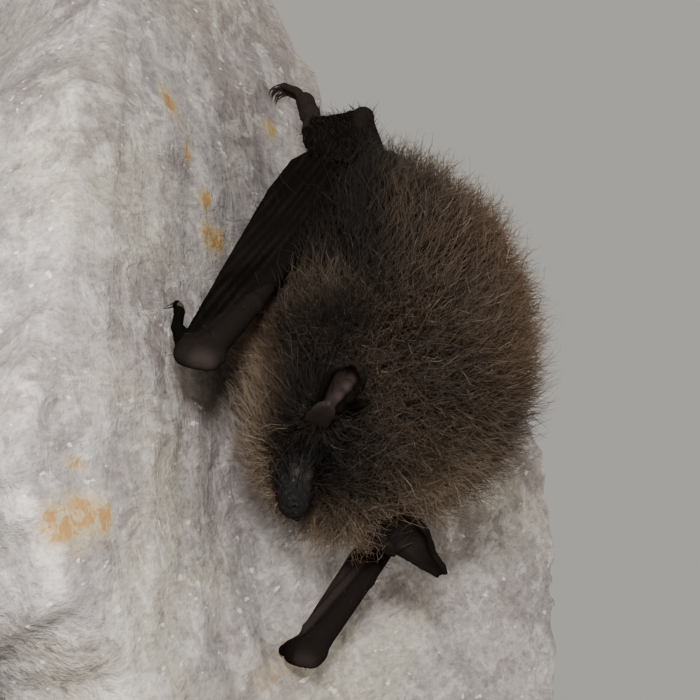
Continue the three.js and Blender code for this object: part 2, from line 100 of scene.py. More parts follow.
EAR_LENGTH = 12.5
TRAGUS_LENGTH = 6.6
EARS = {
    "right": dict(side=1, root=vec(-4.4, -7.5, -52.9), tip=vec(-8.67, -6.4, -6.16),
                  opens=vec(0.29, 0.36, -0.89), curl=1.45, furry=3.8,
                  front=(0.8, 1.15, 1.4, 1.45, 1.45, 1.4, 1.25, 0.95, 0.5),
                  rear=(0.8, 1.25, 1.5, 1.6, 1.6, 1.55, 1.4, 1.05, 0.6)),
    "left": dict(side=-1, root=vec(1.9, -7.2, -52.8), tip=vec(12, -5.3, -1.7),
                 opens=vec(-0.04, 0.26, -0.96), curl=0.6, furry=4.6,
                 front=(1.6, 2.4, 2.3, 1.8, 1.35, 1.0, 0.7, 0.3, 0.1),
                 rear=(1.6, 2.9, 3.3, 3.0, 2.1, 1.4, 1.2, 1.15, 0.8)),
}
EAR_SHARES = (0, 0.3, 0.55, 0.65, 0.75, 0.83, 0.9, 0.96, 1)  # of the length, for both edges

FOREARM = 34.5
THUMB_RADIUS = 0.55
WINGS = {
    "right": dict(side=-1, elbow=vec(-10.2, -8.9, -25.1), reach=vec(-7.2, 5.1, -33.3),
                  wide=vec(-0.35, 0.9, 0.25), front=(5.0, 4.8, 3.4, 2.2), top=-6.4,
                  thumb=[vec(-17.8, -2.2, -57.4), vec(-18.2, -1.6, -55.6), vec(-18.1, -1.4, -53.4),
                         vec(-17.9, -0.9, -51.9), vec(-18.1, 0.2, -52.3)]),
    "left": dict(side=1, elbow=vec(14.5, -15.9, -28.2), reach=vec(-1.0, 14.9, -31.1),
                 wide=vec(-0.03, 0.88, 0.48), front=(3.0, 2.8, 2.0, 1.7), top=-6.0,
                 thumb=[vec(13.4, 0.7, -58.9), vec(13.7, 1.4, -58.8), vec(14.8, 1.6, -57.6),
                        vec(16.1, 1.4, -56), vec(16.9, 2.1, -56)]),
}

SHIN = 15.3
FAN = (-0.74, -0.44, 0.04, 0.26, 0.7)  # how far aside of the middle each toe lies
LEGS = {
    "right": dict(side=-1, hip=vec(-4.6, -11.5, -20), knee=vec(-12.1, -12.2, -17.3),
                  ankle=vec(-7.2, -4.2, -5.4), hold=vec(-8.5, 0, 0.6),
                  hem=(vec(-9.3, -11, -24.6), vec(-11.6, -12.6, -22))),
    "left": dict(side=1, hip=vec(4.6, -11.5, -20), knee=vec(11.8, -12.6, -17.0),
                 ankle=vec(6.9, -4.4, -5.4), hold=vec(8.2, 0, 0.8),
                 hem=(vec(13.2, -9.5, -23.5), vec(13.2, -15.2, -20.5))),
}
TAIL = [vec(0, -13.5, -17.5), vec(0, -13.2, -10), vec(0, -11, -4.2), vec(0, -7.6, -1.8),
        vec(0, -4.3, -3.6), vec(0, -2.6, -8), vec(0, -2.2, -12.5)]
NICHE = dict(place=vec(4, -52), size=vec(16, 20), deep=2.6)  # pressed into the wall by the head
SLOPE = vec(0.608, 0, 0.794)  # the way in which stains and small lumps of the wall are drawn out
STAINS = (  # ochre stains on the wall's face: middle, half length along the slope, and width
    (vec(-24.5, 0.5, -29.5), 0.4, 2.0),
    (vec(-19.9, 0.5, -30.4), 0.2, 1.2),
    (vec(-15.4, 0.5, -31.4), 0.6, 1.3),
    (vec(-12.4, 0.5, -33.2), 1.6, 1.9),
    (vec(-22, 0.5, -74.8), 1.2, 0.7),
    (vec(-20.2, 0.5, -78.2), 3.5, 2.1),
    (vec(-6.8, 0.5, -3.4), 1.2, 1.2),
    (vec(14, 0.5, -60), 6.0, 2.0),
    (vec(16, 0.5, -24), 5.0, 1.8),
)
MAUVE = vec(-14, 0.5, -1)  # middle of the large dull cloud on the wall
SHEET = 0.56  # thickness of the tail and flank membranes
SHEET_LIFT = 0.75  # of the flank membranes off the outer form of the coat

LUMPS = (  # waves that lift the wall into lumps: steepness along the axes, start, and divisor
    ((0.55, 0.3, 0.21), 0.3, 1), ((-0.4, 0.2, 0.37), 1.9, 1), ((0.9, 0.1, -0.3), 4.1, 1.6),
    ((1.3, -0.5, 0.5), 2.2, 2.2), ((-1.1, 0.7, 0.9), 5.0, 2.4),
    ((2.3, 0.4, 0.7), 0.8, 4), ((1.9, -0.8, -1.1), 3.3, 4))
WALL_BY_BAT = (vec(0, 0, -30), vec(22, 30, 36))  # the smoother part of the wall

# patches of the coat, as a middle and a size: hair is grey at the armpit, darkened as painted shade
# in the pits, and dark at the face's masks
ARMPIT = (vec(-13.5, -11.4, -45), 1.9)
SHADED_PITS = ((vec(-11.8, -11.2, -48.6), vec(3.8, 4.4, 4.0)),
        (vec(-13.6, -14.2, -44.2), vec(3.2, 3.4, 4.2)))
MASKS = ((vec(-4.2, -6.4, -54.4), vec(4.2, 3.5, 3.8)),
         (vec(-7.4, -8.8, -52.2), vec(3.6, 2.7, 2.8)))
WING_OPENING = vec(12, -7.5, -52.5)  # where the left wing comes out from under the fur

SKIN_BOX = (vec(-21, -25, -63), vec(19, 4, 5))  # all of the skin lies in it
FINE_BOX = (vec(-14.5, -25, -63), vec(4.5, -2.2, -49.5))  # muzzle, eyes and the right ear
HIDDEN_SHARE = 0.58  # of the mesh under the coat that is kept
SETTLE = 0.12  # the farthest that a point of the mesh is moved onto the form at once
TOE_CLAW_RADII = (0.27, 0.21, 0.13, 0.02)
THUMB_CLAW_RADII = (0.42, 0.38, 0.3, 0.16, 0.02)
BAKE_PATCH = 0.003  # size of a tuft's patch on the unwrapped skin
UNWRAP_HEIGHT = 60  # of the body on that unwrap

# ---------------------------------------------------------------- the stage, in metres

FLOOR_REACH = 1.5  # from the middle to each side
FLOOR_DROP = 0.0002  # of the floor under the stand's base
KEY_RAISE = 0.03  # of the key light above the camera
KEY_SIZE = 0.018
STUDIO_SIZE = 0.4
STUDIO_LAMPS = {"side_light": ((0.5, -0.6, 0.55), 1.1), "back_light": ((-0.4, 0.7, 0.5), 0.9)}


# ---------------------------------------------------------------- maths on many points

def unit(vectors):
    """Vectors made one long."""
    return vectors / np.maximum(np.linalg.norm(vectors, axis=-1, keepdims=True), 1e-12)


def smooth(values, low, high):
    """0 below low, 1 above high, and an even rise between."""
    share = np.clip((values - low) / (high - low), 0, 1)
    return share * share * (3 - 2 * share)


def fade(values, low, high):
    """1 below low, 0 above high, and an even fall between."""
    return 1 - smooth(values, low, high)


def apart(points, place):
    """How far points lie from a place."""
    return np.linalg.norm(points - place, axis=1)


def within(points, box):
    """Which points lie inside a box."""
    return np.all((points > box[0]) & (points < box[1]), axis=-1)


def patch(points, middle, size):
    """1 at the middle of a patch, fading out evenly over its size."""
    return np.exp(-np.sum(((points - middle) / size) ** 2, 1))


def soft_min(a, b, width):
    """The lesser of two distances, with the crease between them filled."""
    share = np.clip(0.5 + (b - a) / (2 * width), 0, 1)
    return b + (a - b) * share - width * share * (1 - share)


def soft_max(a, b, width):
    """The greater of two distances, with the edge between them rounded."""
    return -soft_min(-a, -b, width)


def egg_distance(points, centre, axes, tilt=0.0, taper=0.0):
    """Distance, near the surface, from an egg tilted about X that tapers upwards."""
    q = points - centre
    turned = np.stack([q[:, 0], math.cos(tilt) * q[:, 1] - math.sin(tilt) * q[:, 2],
                       math.sin(tilt) * q[:, 1] + math.cos(tilt) * q[:, 2]], 1) / axes
    narrow = 1 + taper * np.maximum(turned[:, 2], 0) ** 2
    flat = np.hypot(turned[:, 0], turned[:, 1]) * narrow
    return (np.hypot(flat, turned[:, 2]) - 1) * np.min(axes)


def bar_distance(points, start, end, start_radius, end_radius=None):
    """Distance from a round bar whose radius changes evenly from end to end."""
    end_radius = start_radius if end_radius is None else end_radius
    along = end - start
    share = np.clip((points - start) @ along / (along @ along), 0, 1)
    nearest = start + share[:, None] * along
    return apart(points, nearest) - (start_radius + share * (end_radius - start_radius))


def chain_distance(points, stations, width):
    """Distance from bars joined through stations (place, radius)."""
    whole = None
    for (start, start_radius), (end, end_radius) in zip(stations, stations[1:]):
        bar = bar_distance(points, start, end, start_radius, end_radius)
        whole = bar if whole is None else soft_min(whole, bar, width)
    return whole


def through(places, shares):
    """Points on a smooth curve through places, for shares from 0 to 1 of the way."""
    places = np.array(places)
    ends = np.vstack([2 * places[0] - places[1], places, 2 * places[-1] - places[-2]])
    walk = np.clip(np.asarray(shares, float), 0, 1) * (len(places) - 1)
    first = np.minimum(walk.astype(int), len(places) - 2)
    t = (walk - first)[:, None]
    a, b, c, d = (ends[first + step] for step in range(4))
    return 0.5 * (2 * b + (c - a) * t + (2 * a - 5 * b + 4 * c - d) * t ** 2
                  + (3 * b - a - 3 * c + d) * t ** 3)


def slopes(distance, points, step=0.05):
    """The direction in which a distance grows, at each point."""
    sides = [distance(points + step * axis) - distance(points - step * axis) for axis in np.eye(3)]
    return unit(np.stack(sides, 1))


def waves(points, size):
    """Smooth lumps between -1 and 1, about `size` apart."""
    p = points * (2 * math.pi / size)
    return (np.sin(p @ vec(0.9, 0.3, 0.35) + 0.4) + np.sin(p @ vec(-0.4, 0.8, 0.5) + 2.1)
            + np.sin(p @ vec(0.3, -0.55, 0.8) + 4.0) + np.sin(p @ vec(-0.6, -0.6, 0.6) + 5.2)) / 4


# ---------------------------------------------------------------- outer form of the coat

def wing_axes(wing):
    """Along the folded wing, across it towards the fingers' front, and out of its flat face."""
    ahead = unit(wing["reach"])
    wide = unit(wing["wide"] - ahead * (wing["wide"] @ ahead))
    return ahead, wide, np.cross(wide, ahead)


def on_wing(wing, along, across, out=0.0):
    """A place on a wing, from its elbow."""
    ahead, wide, face = wing_axes(wing)
    return wing["elbow"] + ahead * along + wide * across + face * out


def wing_places(points, wing):
    """How far points lie from an elbow: along the wing, across it, and out of its face."""
    return [(points - wing["elbow"]) @ axis for axis in wing_axes(wing)]


def hollow_bars():
    """Bars that press room for each arm into the coat."""
    for wing in WINGS.values():
        face = wing_axes(wing)[2]
        away = face * HOLLOW_RADIUS * wing["side"] * np.sign(face[0])
        yield on_wing(wing, -8, 1.6) + away, on_wing(wing, 26, 0.8) + away


def coat_distance(points):
    """Distance from the outer form of the body's coat."""
    body = soft_min(egg_distance(points, **COAT_BODY), egg_distance(points, **COAT_RUFF), COAT_BLEND)
    whole = soft_min(body, egg_distance(points, **COAT_CHEEK), CHEEK_BLEND)
    for start, end in hollow_bars():
        whole = soft_max(whole, -bar_distance(points, start, end, HOLLOW_RADIUS), 1.5)
    return whole


def on_head(back, up, right):
    """A place on the head, from the tip of the nose."""
    return NOSE - HEAD_AHEAD * back + HEAD_UP * up + HEAD_RIGHT * right


def eye_place(side):
    """The middle of an eye; side is 1 for the head's right."""
    return on_head(EYE_BACK, EYE_UP, side * EYE_ASIDE)


def head_places(points):
    """How far back, up and to the right of the nose points lie."""
    q = points - NOSE
    return -(q @ HEAD_AHEAD), q @ HEAD_UP, q @ HEAD_RIGHT


def lobe_distance(points, depth=0.0):
    """Distance from the rounded part of the head behind the eyes, a depth under its fur."""
    q = points - on_head(LOBE["back"], LOBE["up"], 0)
    own = np.stack([q @ HEAD_RIGHT, q @ HEAD_UP, q @ HEAD_AHEAD], 1) / (LOBE["axes"] - depth)
    return (np.linalg.norm(own, axis=1) - 1) * (LOBE["axes"][1] - depth)


def muzzle_distance(points):
    """Distance from the bare muzzle with its glands, chin, lips and nostrils."""
    whole = bar_distance(points, on_head(6, 0.2, 0), on_head(1.15, 0, 0), 2.1, 1.2)
    for side in SIDES.values():
        gland = apart(points, on_head(3.5, 0.35, side * 1.0)) - 0.95
        whole = soft_min(whole, gland, 0.35)
    chin = bar_distance(points, on_head(6, -1.3, 0), on_head(2.2, -0.85, 0), 1.45, 0.6)
    whole = soft_min(whole, chin, 0.35)
    for side in SIDES.values():
        rim = apart(points, on_head(0.45, 0.2, side * 0.62)) - 0.5
        whole = soft_min(whole, rim, 0.16)
        lip = bar_distance(points, on_head(0.9, -0.4, side * 0.45),
                           on_head(5.2, -0.6, side * 1.5), 0.36, 0.42)
        whole = soft_min(whole, lip, 0.2)
    return whole - 0.07 * waves(points, 0.9) - 0.04 * waves(points[:, ::-1], 0.45)


def muzzle_cuts(points):
    """Distance from what is hollowed out of the muzzle: nostrils and the line of the mouth."""
    whole = np.full(len(points), FAR)
    for side in SIDES.values():
        hole = bar_distance(points, on_head(-0.1, 0.22, side * 0.6),
                            on_head(0.75, 0.4, side * 0.85), 0.19, 0.13)
        mouth = bar_distance(points, on_head(0.7, -0.72, side * 0.5),
                             on_head(5.4, -1.1, side * 2.0), 0.1)
        whole = np.minimum(whole, np.minimum(hole, mouth))
    mouth_front = bar_distance(points, on_head(0.7, -0.72, -0.5), on_head(0.7, -0.72, 0.5), 0.1)
    cleft = bar_distance(points, on_head(-0.05, 0.6, 0), on_head(0.0, -0.4, 0), 0.09)
    return np.minimum(whole, np.minimum(mouth_front, cleft))


def wall_face(points):
    """How far back the wall's face stands beside points, less its flank past the body."""
    x, z = points[:, 0], points[:, 2]
    niche = NICHE["deep"] * patch(points[:, [0, 2]], NICHE["place"], NICHE["size"])
    ripple = 0.22 * (2 + np.sin(x * 0.33 + z * 0.12) + np.sin(z * 0.21 - x * 0.17 + 2))
    return 0.35 + niche + ripple * 0.6


def coat_reach(points):
    """Distance from the whole furred form, of body and head."""
    return soft_min(coat_distance(points), lobe_distance(points), 1.2)


# ---------------------------------------------------------------- the skin, part by part

def body_skin(points):
    """The body under its coat, with neck, hips and shoulders."""
    body = COAT_BODY["axes"] - vec(BODY_DEPTH, BODY_DEPTH, BODY_DEPTH + 0.6)
    ruff = COAT_RUFF["axes"] - RUFF_DEPTH
    whole = soft_min(
        egg_distance(points, COAT_BODY["centre"], body, COAT_BODY["tilt"], COAT_BODY["taper"]),
        egg_distance(points, COAT_RUFF["centre"], ruff), 3.0)
    cheek = egg_distance(points, COAT_CHEEK["centre"], COAT_CHEEK["axes"] - CHEEK_DEPTH)
    neck = bar_distance(points, vec(0, -9, -42), on_head(12, 1.2, 0), 5.0, 3.6)
    whole = soft_min(soft_min(whole, cheek, 1.5), neck, 2.0)
    for start, end in hollow_bars():
        whole = soft_max(whole, -bar_distance(points, start, end, HOLLOW_RADIUS + 0.5), 1.5)
    return whole


def head_skin(points):
    """The head with muzzle, eye sockets and lids, nostrils and mouth."""
    lobe = lobe_distance(points, HEAD_DEPTH)
    whole = soft_min(lobe, muzzle_distance(points), 1.3)
    for side in SIDES.values():
        socket = apart(points, on_head(EYE_BACK, EYE_UP, side * 2.7)) - EYE_RADIUS
        lid = np.abs(socket - 0.1) - 0.2
        outside = side * ((points - on_head(EYE_BACK, EYE_UP, side * 2.72)) @ HEAD_RIGHT)
        whole = soft_min(whole, soft_max(lid, outside, 0.2), 0.25)
        whole = soft_max(whole, -(socket - 0.02), 0.05)
    return soft_max(whole, -muzzle_cuts(points), 0.12)


def ear_axes(ear):
    """Along the ear, towards its rear rim, and the way it opens."""
    along = unit(ear["tip"])
    opening = unit(ear["opens"] - along * (ear["opens"] @ along))
    return along, np.cross(along, opening) * ear["side"], opening


def ear_places(points, ear):
    """Where points lie on an ear: share of its length, turn round its cup, and off the leaf."""
    along, rear, opening = ear_axes(ear)
    q = points - ear["root"]
    run = q @ along
    share = np.clip(run / EAR_LENGTH, 0, 1)
    sideways = q @ rear
    lift = q @ opening + 0.9 * np.sin(math.pi * share * 0.8)
    curl = ear["curl"] * (1 - 0.4 * smooth(share, 0.4, 1))
    half = np.where(sideways > 0, np.interp(share, EAR_SHARES, ear["rear"]),
                    np.interp(share, EAR_SHARES, ear["front"]))
    radius = half / curl
    turn = np.arctan2(sideways, radius - lift) / curl
    angle = np.clip(turn, -1, 1) * curl
    off_arc = np.hypot(sideways - radius * np.sin(angle), lift - radius * (1 - np.cos(angle)))
    inner = radius - np.hypot(sideways, radius - lift)
    return share, turn, np.hypot(off_arc, run - share * EAR_LENGTH), inner


def ear_skin(points, ear):
    """A cupped leaf with rolled rims and faint folds across it."""
    share, turn, off, _ = ear_places(points, ear)
    rolled = 0.1 * smooth(np.abs(turn), 0.75, 1)
    folds = 0.04 * np.sin(share * 34) * smooth(share, 0.15, 0.3) * fade(share, 0.75, 0.9)
    thick = 0.19 + rolled + folds * smooth(turn, 0, 0.3) + 0.25 * fade(share, 0, 0.25)
    return off - thick


def tragus_skin(points, ear):
    """The slender pointed leaf that stands in the mouth of the ear."""
    along, rear, opening = ear_axes(ear)
    q = points - (ear["root"] + along * 1.2 + opening * 0.9 - rear * 0.3)
    run = q @ along
    share = np.clip(run / TRAGUS_LENGTH, 0, 1)
    lean = np.interp(share, (0, 0.4, 0.75, 1), (0, 0.25, 0.35, 0.3))
    half = np.interp(share, (0, 0.45, 0.75, 0.88, 0.96, 1), (0.95, 1.0, 0.92, 0.75, 0.5, 0.27))
    thick = 0.27
    aside = np.maximum(np.abs(q @ rear) - np.maximum(half - thick, 0), 0)
    return np.sqrt(aside ** 2 + (q @ opening - lean) ** 2
                   + (run - share * TRAGUS_LENGTH) ** 2) - thick


def forearm_skin(points, wing):
    """The forearm bone under its skin, to the rounded heel of the wrist."""
    bars = [(on_wing(wing, -1.2, -0.9), 0.9), (on_wing(wing, 2, -1), 1.05),
            (on_wing(wing, 12, -1.05), 0.85), (on_wing(wing, 26, -0.9), 0.85),
            (on_wing(wing, FOREARM - 1.4, -0.4), 1.1)]
    whole = chain_distance(points, bars, 0.4)
    q = points - on_wing(wing, FOREARM + 0.35, 0)
    heel = np.stack([q @ axis for axis in wing_axes(wing)], 1) / vec(1.45, 1.85, 1.1)
    heel = (np.linalg.norm(heel, axis=1) - 1) * 1.1
    knuckles = [bar_distance(points, on_wing(wing, FOREARM + 0.1, across),
                             on_wing(wing, FOREARM + 1.05, across), 0.72)
                for across in (-0.85, 0.25, 1.1)]
    for knuckle in knuckles:
        heel = soft_min(heel, knuckle, 0.5)
    return soft_min(whole, heel, 0.8)


def finger_skin(points, wing):
    """The long fingers folded back along the forearm and the membrane pleated between them."""
    along, across, out = wing_places(points, wing)
    tip, upper, middle, wrist = wing["front"]
    places = (wing["top"], wing["top"] + 3, 4, 19, FOREARM - 3, FOREARM + 0.6)
    front = np.interp(along, places, (tip * 0.86, tip, upper, middle, wrist, wrist * 0.9))
    thick = np.interp(along, places, (0.45, 0.7, 1.0, 1.05, 1.0, 0.8))
    rear = -0.4
    core = 0.34 * thick
    beyond = np.maximum(np.maximum(wing["top"] + 1.2 - along, along - FOREARM - 0.3), 0)
    aside = np.maximum(np.abs(across - (front + rear) / 2) - ((front - rear) / 2 - core), 0)
    whole = np.sqrt(aside ** 2 + out ** 2 + beyond ** 2) - core
    for share, width, end in ((0, 0.72, 0), (0.34, 0.6, -0.7), (0.62, 0.66, 0.5), (0.86, 0.6, 1.4)):
        width = thick * width
        line = front - width + (rear - front + width) * share
        beyond = np.maximum(np.maximum(wing["top"] + end - along, along - FOREARM - 0.3), 0)
        ridge = np.sqrt((across - line) ** 2 + out ** 2 + beyond ** 2) - width
        whole = soft_min(whole, ridge, 0.16)
    if wing["side"] > 0:
        ridge = bar_distance(points, on_wing(wing, 20, -0.9, 0.75), on_wing(wing, 33, 1.1, 0.75), 0.2)
        whole = soft_min(whole, ridge, 0.4)
    return whole - 0.03 * waves(points * vec(1, 1, 0.5), 1.4)


def thumb_skin(points, wing):
    """The thumb, up to its claw."""
    radii = THUMB_RADIUS * vec(1.15, 0.8, 0.72, 0.66)
    bars = list(zip(wing["thumb"][:4], radii))
    return chain_distance(points, bars, 0.2)


def leg_skin(points, leg):
    """Thigh, knee and shin."""
    ahead = unit(leg["ankle"] - leg["knee"])
    at = [leg["knee"] + ahead * run for run in (-0.4, 3, SHIN - 4, SHIN - 0.6)]
    whole = chain_distance(points, [(leg["hip"], 2.2), (leg["knee"], 0.9)], 0.5)
    shin = chain_distance(points, list(zip(at, (0.95, 0.7, 0.58, 0.78))), 0.4)
    return soft_min(whole, shin, 0.4)


def foot_joint(leg, share, out, lift):
    """A place between ankle and hold, out from the wall and lifted."""
    return leg["ankle"] + (leg["hold"] - leg["ankle"]) * share + vec(0, -out, lift)


def toe_line(leg, index):
    """The joints of a toe, from the third of them the hook of its claw."""
    spread = vec(0.9 * leg["side"], 0, -0.42) * FAN[index]
    rise = 1.5 - 0.1 * (index - 2) ** 2
    places = [(0.45, 1.5, 0.7, 0.6), (0.8, 1.8, rise * 0.8, 0.8), (1, 1.25, rise, 1),
              (1, 0.5, rise * 1.02, 1.15), (1, -0.1, rise * 0.6, 1.3), (1, -0.2, -0.5, 1.4)]
    return [foot_joint(leg, share, out, lift) + spread * wide for share, out, lift, wide in places]


def foot_skin(points, leg):
    """Sole, heel and five toes with swollen joints."""
    sole = [(foot_joint(leg, 0, 0.2, -0.4), 0.9), (foot_joint(leg, 0.25, 0.9, 0.2), 1.0),
            (foot_joint(leg, 0.55, 1.6, 0.8), 1.0)]
    whole = chain_distance(points, sole, 0.4)
    heel = apart(points, foot_joint(leg, -0.12, 1.1, -0.9)) - 0.66
    whole = soft_min(whole, heel, 0.4)
    for index in range(len(FAN)):
        joints = toe_line(leg, index)
        toe = chain_distance(points, list(zip(joints[:3], (0.5, 0.44, 0.32))), 0.1)
        knuckle = apart(points, joints[2]) - 0.36
        whole = soft_min(whole, soft_min(toe, knuckle, 0.1), 0.12)
    return whole - 0.05 * waves(points, 0.9)


def tail_skin(points):
    """The tail under its skin, thinner towards its tip."""
    shares = np.linspace(0, 1, 12)
    radii = 0.85 + (0.4 - 0.85) * shares
    return chain_distance(points, list(zip(through(TAIL, shares), radii)), 0.1)


class Sheet:
    """A thin bent membrane, known by points spread closely over its middle surface."""

    def __init__(self, place, thickness, columns=150, rows=130):
        s, q = np.meshgrid(np.linspace(0, 1, rows), np.linspace(-1, 1, columns), indexing="ij")
        middle = place(s.ravel(), q.ravel())
        self.low, self.high = middle.min(0), middle.max(0)
        self.half = thickness / 2
        self.tree = KDTree(len(middle))
        for index, point in enumerate(middle):
            self.tree.insert(point, index)
        self.tree.balance()

    def distance(self, points):
        """Distance from the membrane, which is a little uneven."""
        find = self.tree.find
        away = np.array([find(point)[2] for point in points])
        return away - self.half - 0.13 * waves(points, 1.5) - 0.07 * waves(points[:, ::-1], 0.7)


def tail_sheet(s, q):
    """The tail membrane, slung between the shins and folded over the bend of the tail."""
    middle = through(TAIL, 0.04 + s * 0.86)
    middle = middle + np.outer(np.sin(math.pi * s), vec(0, 0, -0.75)) + vec(0, 0.1, 0)
    tuck = smooth(s, 0.5, 1)[:, None]
    edge = np.zeros_like(middle)
    for name, leg in LEGS.items():
        along = (0.06 + 0.86 * np.minimum(s * 1.9, 1))[:, None]
        line = leg["knee"] + (leg["ankle"] - leg["knee"]) * along
        line = line + (vec(leg["side"] * 3.4, -2.6, -11) - line) * tuck * 0.9
        line[:, 0] -= leg["side"] * 0.9
        edge = np.where((q < 0)[:, None] == (name == "right"), line, edge)
    side = np.abs(q)[:, None]
    sag = 0.9 * np.sin(math.pi * side) * (1 - tuck)
    wrinkle = 0.14 * np.sin(side * 15) * np.sin(math.pi * side)
    return middle + (edge - middle) * side ** 1.15 + (sag + wrinkle) * vec(0, 1, 0)


def flank_sheet(leg):
    """The rule for a flank membrane: from the shin down over the side of the rump."""
    at_ankle = leg["ankle"] + vec(leg["side"] * 0.2, 0.5, -0.9)
    at_knee = leg["knee"] + (leg["ankle"] - leg["knee"]) * 0.1 + vec(leg["side"] * 0.2, 0, -0.7)

    def place(s, q):
        """Points at shares s, from shin to hem, and q, from ankle to knee."""
        across = ((q + 1) / 2)[:, None]
        upper = at_ankle + (at_knee - at_ankle) * across
        lower = leg["hem"][0] + (leg["hem"][1] - leg["hem"][0]) * across
        points = upper + (lower - upper) * s[:, None]
        points[:, 1] += 1.35 * np.sin(math.pi * s ** 0.9) * (1 - across[:, 0]) ** 1.5
        out = unit(points - COAT_BODY["centre"])
        for _ in range(6):
            points = points + out * np.maximum(SHEET_LIFT - coat_distance(points), 0)[:, None]
        pleat = 0.3 * np.sin(across[:, 0] * 3 * math.pi) * np.sin(math.pi * s)
        return points + np.outer(pleat, vec(leg["side"], 0, 0))

    return place


# ---------------------------------------------------------------- the skin as one mesh

class Flesh:
    """Every part of the skin: its rule, the box it lies in, and how softly it joins the rest."""

    def __init__(self):
        self.parts = []
        self.add("body", body_skin, vec(-14, -23, -57), vec(14, 1, -15), 0.5)
        self.add("head", head_skin, vec(-8, -13, -62), vec(6, 1, -43), 1.2)
        for ear in EARS.values():
            low, high = self.span([ear["root"], ear["root"] + ear_axes(ear)[0] * EAR_LENGTH], 3.6)
            self.add("ear", lambda p, ear=ear: ear_skin(p, ear), low, high, 0.35)
            self.add("tragus", lambda p, ear=ear: tragus_skin(p, ear), low, high, 0.15)
        for wing in WINGS.values():
            low, high = self.span([on_wing(wing, along, across) for along in (-8, FOREARM + 2)
                                   for across in (-2, 5)], 2)
            self.add("wing", lambda p, wing=wing: finger_skin(p, wing), low, high, 0.15)
            self.add("arm", lambda p, wing=wing: forearm_skin(p, wing), low, high, 0.3)
            low, high = self.span(wing["thumb"], 1.5)
            self.add("thumb", lambda p, wing=wing: thumb_skin(p, wing), low, high, 0.2)
        for leg in LEGS.values():
            low, high = self.span([leg["hip"], leg["knee"], leg["ankle"]], 3.2)
            self.add("leg", lambda p, leg=leg: leg_skin(p, leg), low, high, 0.6)
            low, high = self.span([leg["ankle"], leg["hold"]], 4)
            self.add("foot", lambda p, leg=leg: foot_skin(p, leg), low, high, 0.3)
            sheet = Sheet(flank_sheet(leg), SHEET)
            self.add("sheet", sheet.distance, sheet.low - 1, sheet.high + 1, 0.35)
        low, high = self.span(TAIL, 2)
        self.add("tail", tail_skin, low, high, 0.3)
        sheet = Sheet(tail_sheet, SHEET)
        self.add("sheet", sheet.distance, sheet.low - 1, sheet.high + 1, 0.3)

    @staticmethod
    def span(places, margin):
        """The corners of a box round places."""
        return np.min(places, 0) - margin, np.max(places, 0) + margin

    def add(self, kind, rule, low, high, blend):
        """Adds a part, which joins those before it."""
        self.parts.append((kind, rule, low, high, blend))

    def distance(self, points):
        """Distance from the whole skin."""
        whole = np.full(len(points), FAR)
        for _, rule, low, high, blend in self.parts:
            near = within(points, (low, high))
            if near.any():
                whole[near] = soft_min(whole[near], rule(points[near]), blend)
        return whole

    def nearest_kind(self, points):
        """For each kind of part, the distance from it."""
        far = {}
        for kind, rule, low, high, _ in self.parts:
            near = within(points, (low, high))
            values = far.setdefault(kind, np.full(len(points), FAR))
            if near.any():
                values[near] = np.minimum(values[near], rule(points[near]))
        return far

    def sampled(self, low, high, step):
        """The distance on an even grid of points."""
        counts = np.ceil((high - low) / step).astype(int) + 1
        axes = [low[i] + step * np.arange(counts[i]) for i in range(3)]
        grid = np.full(counts, FAR, np.float32)
        for _, rule, part_low, part_high, blend in self.parts:
            first = [int(np.searchsorted(axes[i], part_low[i])) for i in range(3)]
            last = [int(np.searchsorted(axes[i], part_high[i])) for i in range(3)]
            block = tuple(slice(a, b) for a, b in zip(first, last))
            lines = np.meshgrid(*(axes[i][block[i]] for i in range(3)), indexing="ij")
            points = np.stack([line.ravel() for line in lines], 1)
            values = rule(points).reshape(grid[block].shape)
            grid[block] = soft_min(grid[block], values, blend)
        return grid


def surface_net(grid, low, step):
    """Points and quads of the surface where a sampled distance changes sign."""
    inside = grid < 0
    corners = [(i, j, k) for i in (0, 1) for j in (0, 1) for k in (0, 1)]
    shape = np.array(grid.shape) - 1

    def corner(values, offset):
        """The samples at one corner of every cell."""
        return values[tuple(slice(o, o + n) for o, n in zip(offset, shape))]

    count = sum(corner(inside, offset).astype(np.int8) for offset in corners)
    cells = np.argwhere((count > 0) & (count < 8))
    index = np.full(tuple(shape), -1, np.int64)
    index[tuple(cells.T)] = np.arange(len(cells))
    total = np.zeros((len(cells), 3))
    hits = np.zeros(len(cells))
    for a in corners:
        for axis in range(3):
            if a[axis]:
                continue
            b = tuple(1 if i == axis else a[i] for i in range(3))
            start = grid[tuple((cells + a).T)]
            end = grid[tuple((cells + b).T)]
            crossed = (start < 0) != (end < 0)
            share = start[crossed] / (start[crossed] - end[crossed])
            place = np.tile(np.array(a, float), (len(share), 1))
            place[:, axis] += share
            total[crossed] += place
            hits[crossed] += 1
    points = low + step * (cells + total / hits[:, None])
    quads = []
    for axis in range(3):
        u, v = np.eye(3, dtype=int)[(axis + 1) % 3], np.eye(3, dtype=int)[(axis + 2) % 3]
        ahead = np.eye(3, dtype=int)[axis]
        start = inside[tuple(slice(0, n - a) for n, a in zip(grid.shape, ahead))]
        end = inside[tuple(slice(a, n) for n, a in zip(grid.shape, ahead))]
        edges = np.argwhere(start != end)
        edges = edges[np.all((edges + ahead < grid.shape) & (edges - u - v + ahead > 0), axis=1)]
        ring = np.stack([index[tuple((edges - shift).T)] for shift in (0 * u, u, u + v, v)], 1)
        leaving = start[tuple(edges.T)]
        ring[~leaving] = ring[~leaving][:, ::-1]
        quads.append(ring)
    return points, np.vstack(quads)


# ---------------------------------------------------------------- pieces

def point_vectors(mesh, name):
    """The places ("co") or normals ("normal") of a mesh's points."""
    flat = np.empty(len(mesh.vertices) * 3)
    mesh.vertices.foreach_get(name, flat)
    return flat.reshape(-1, 3)


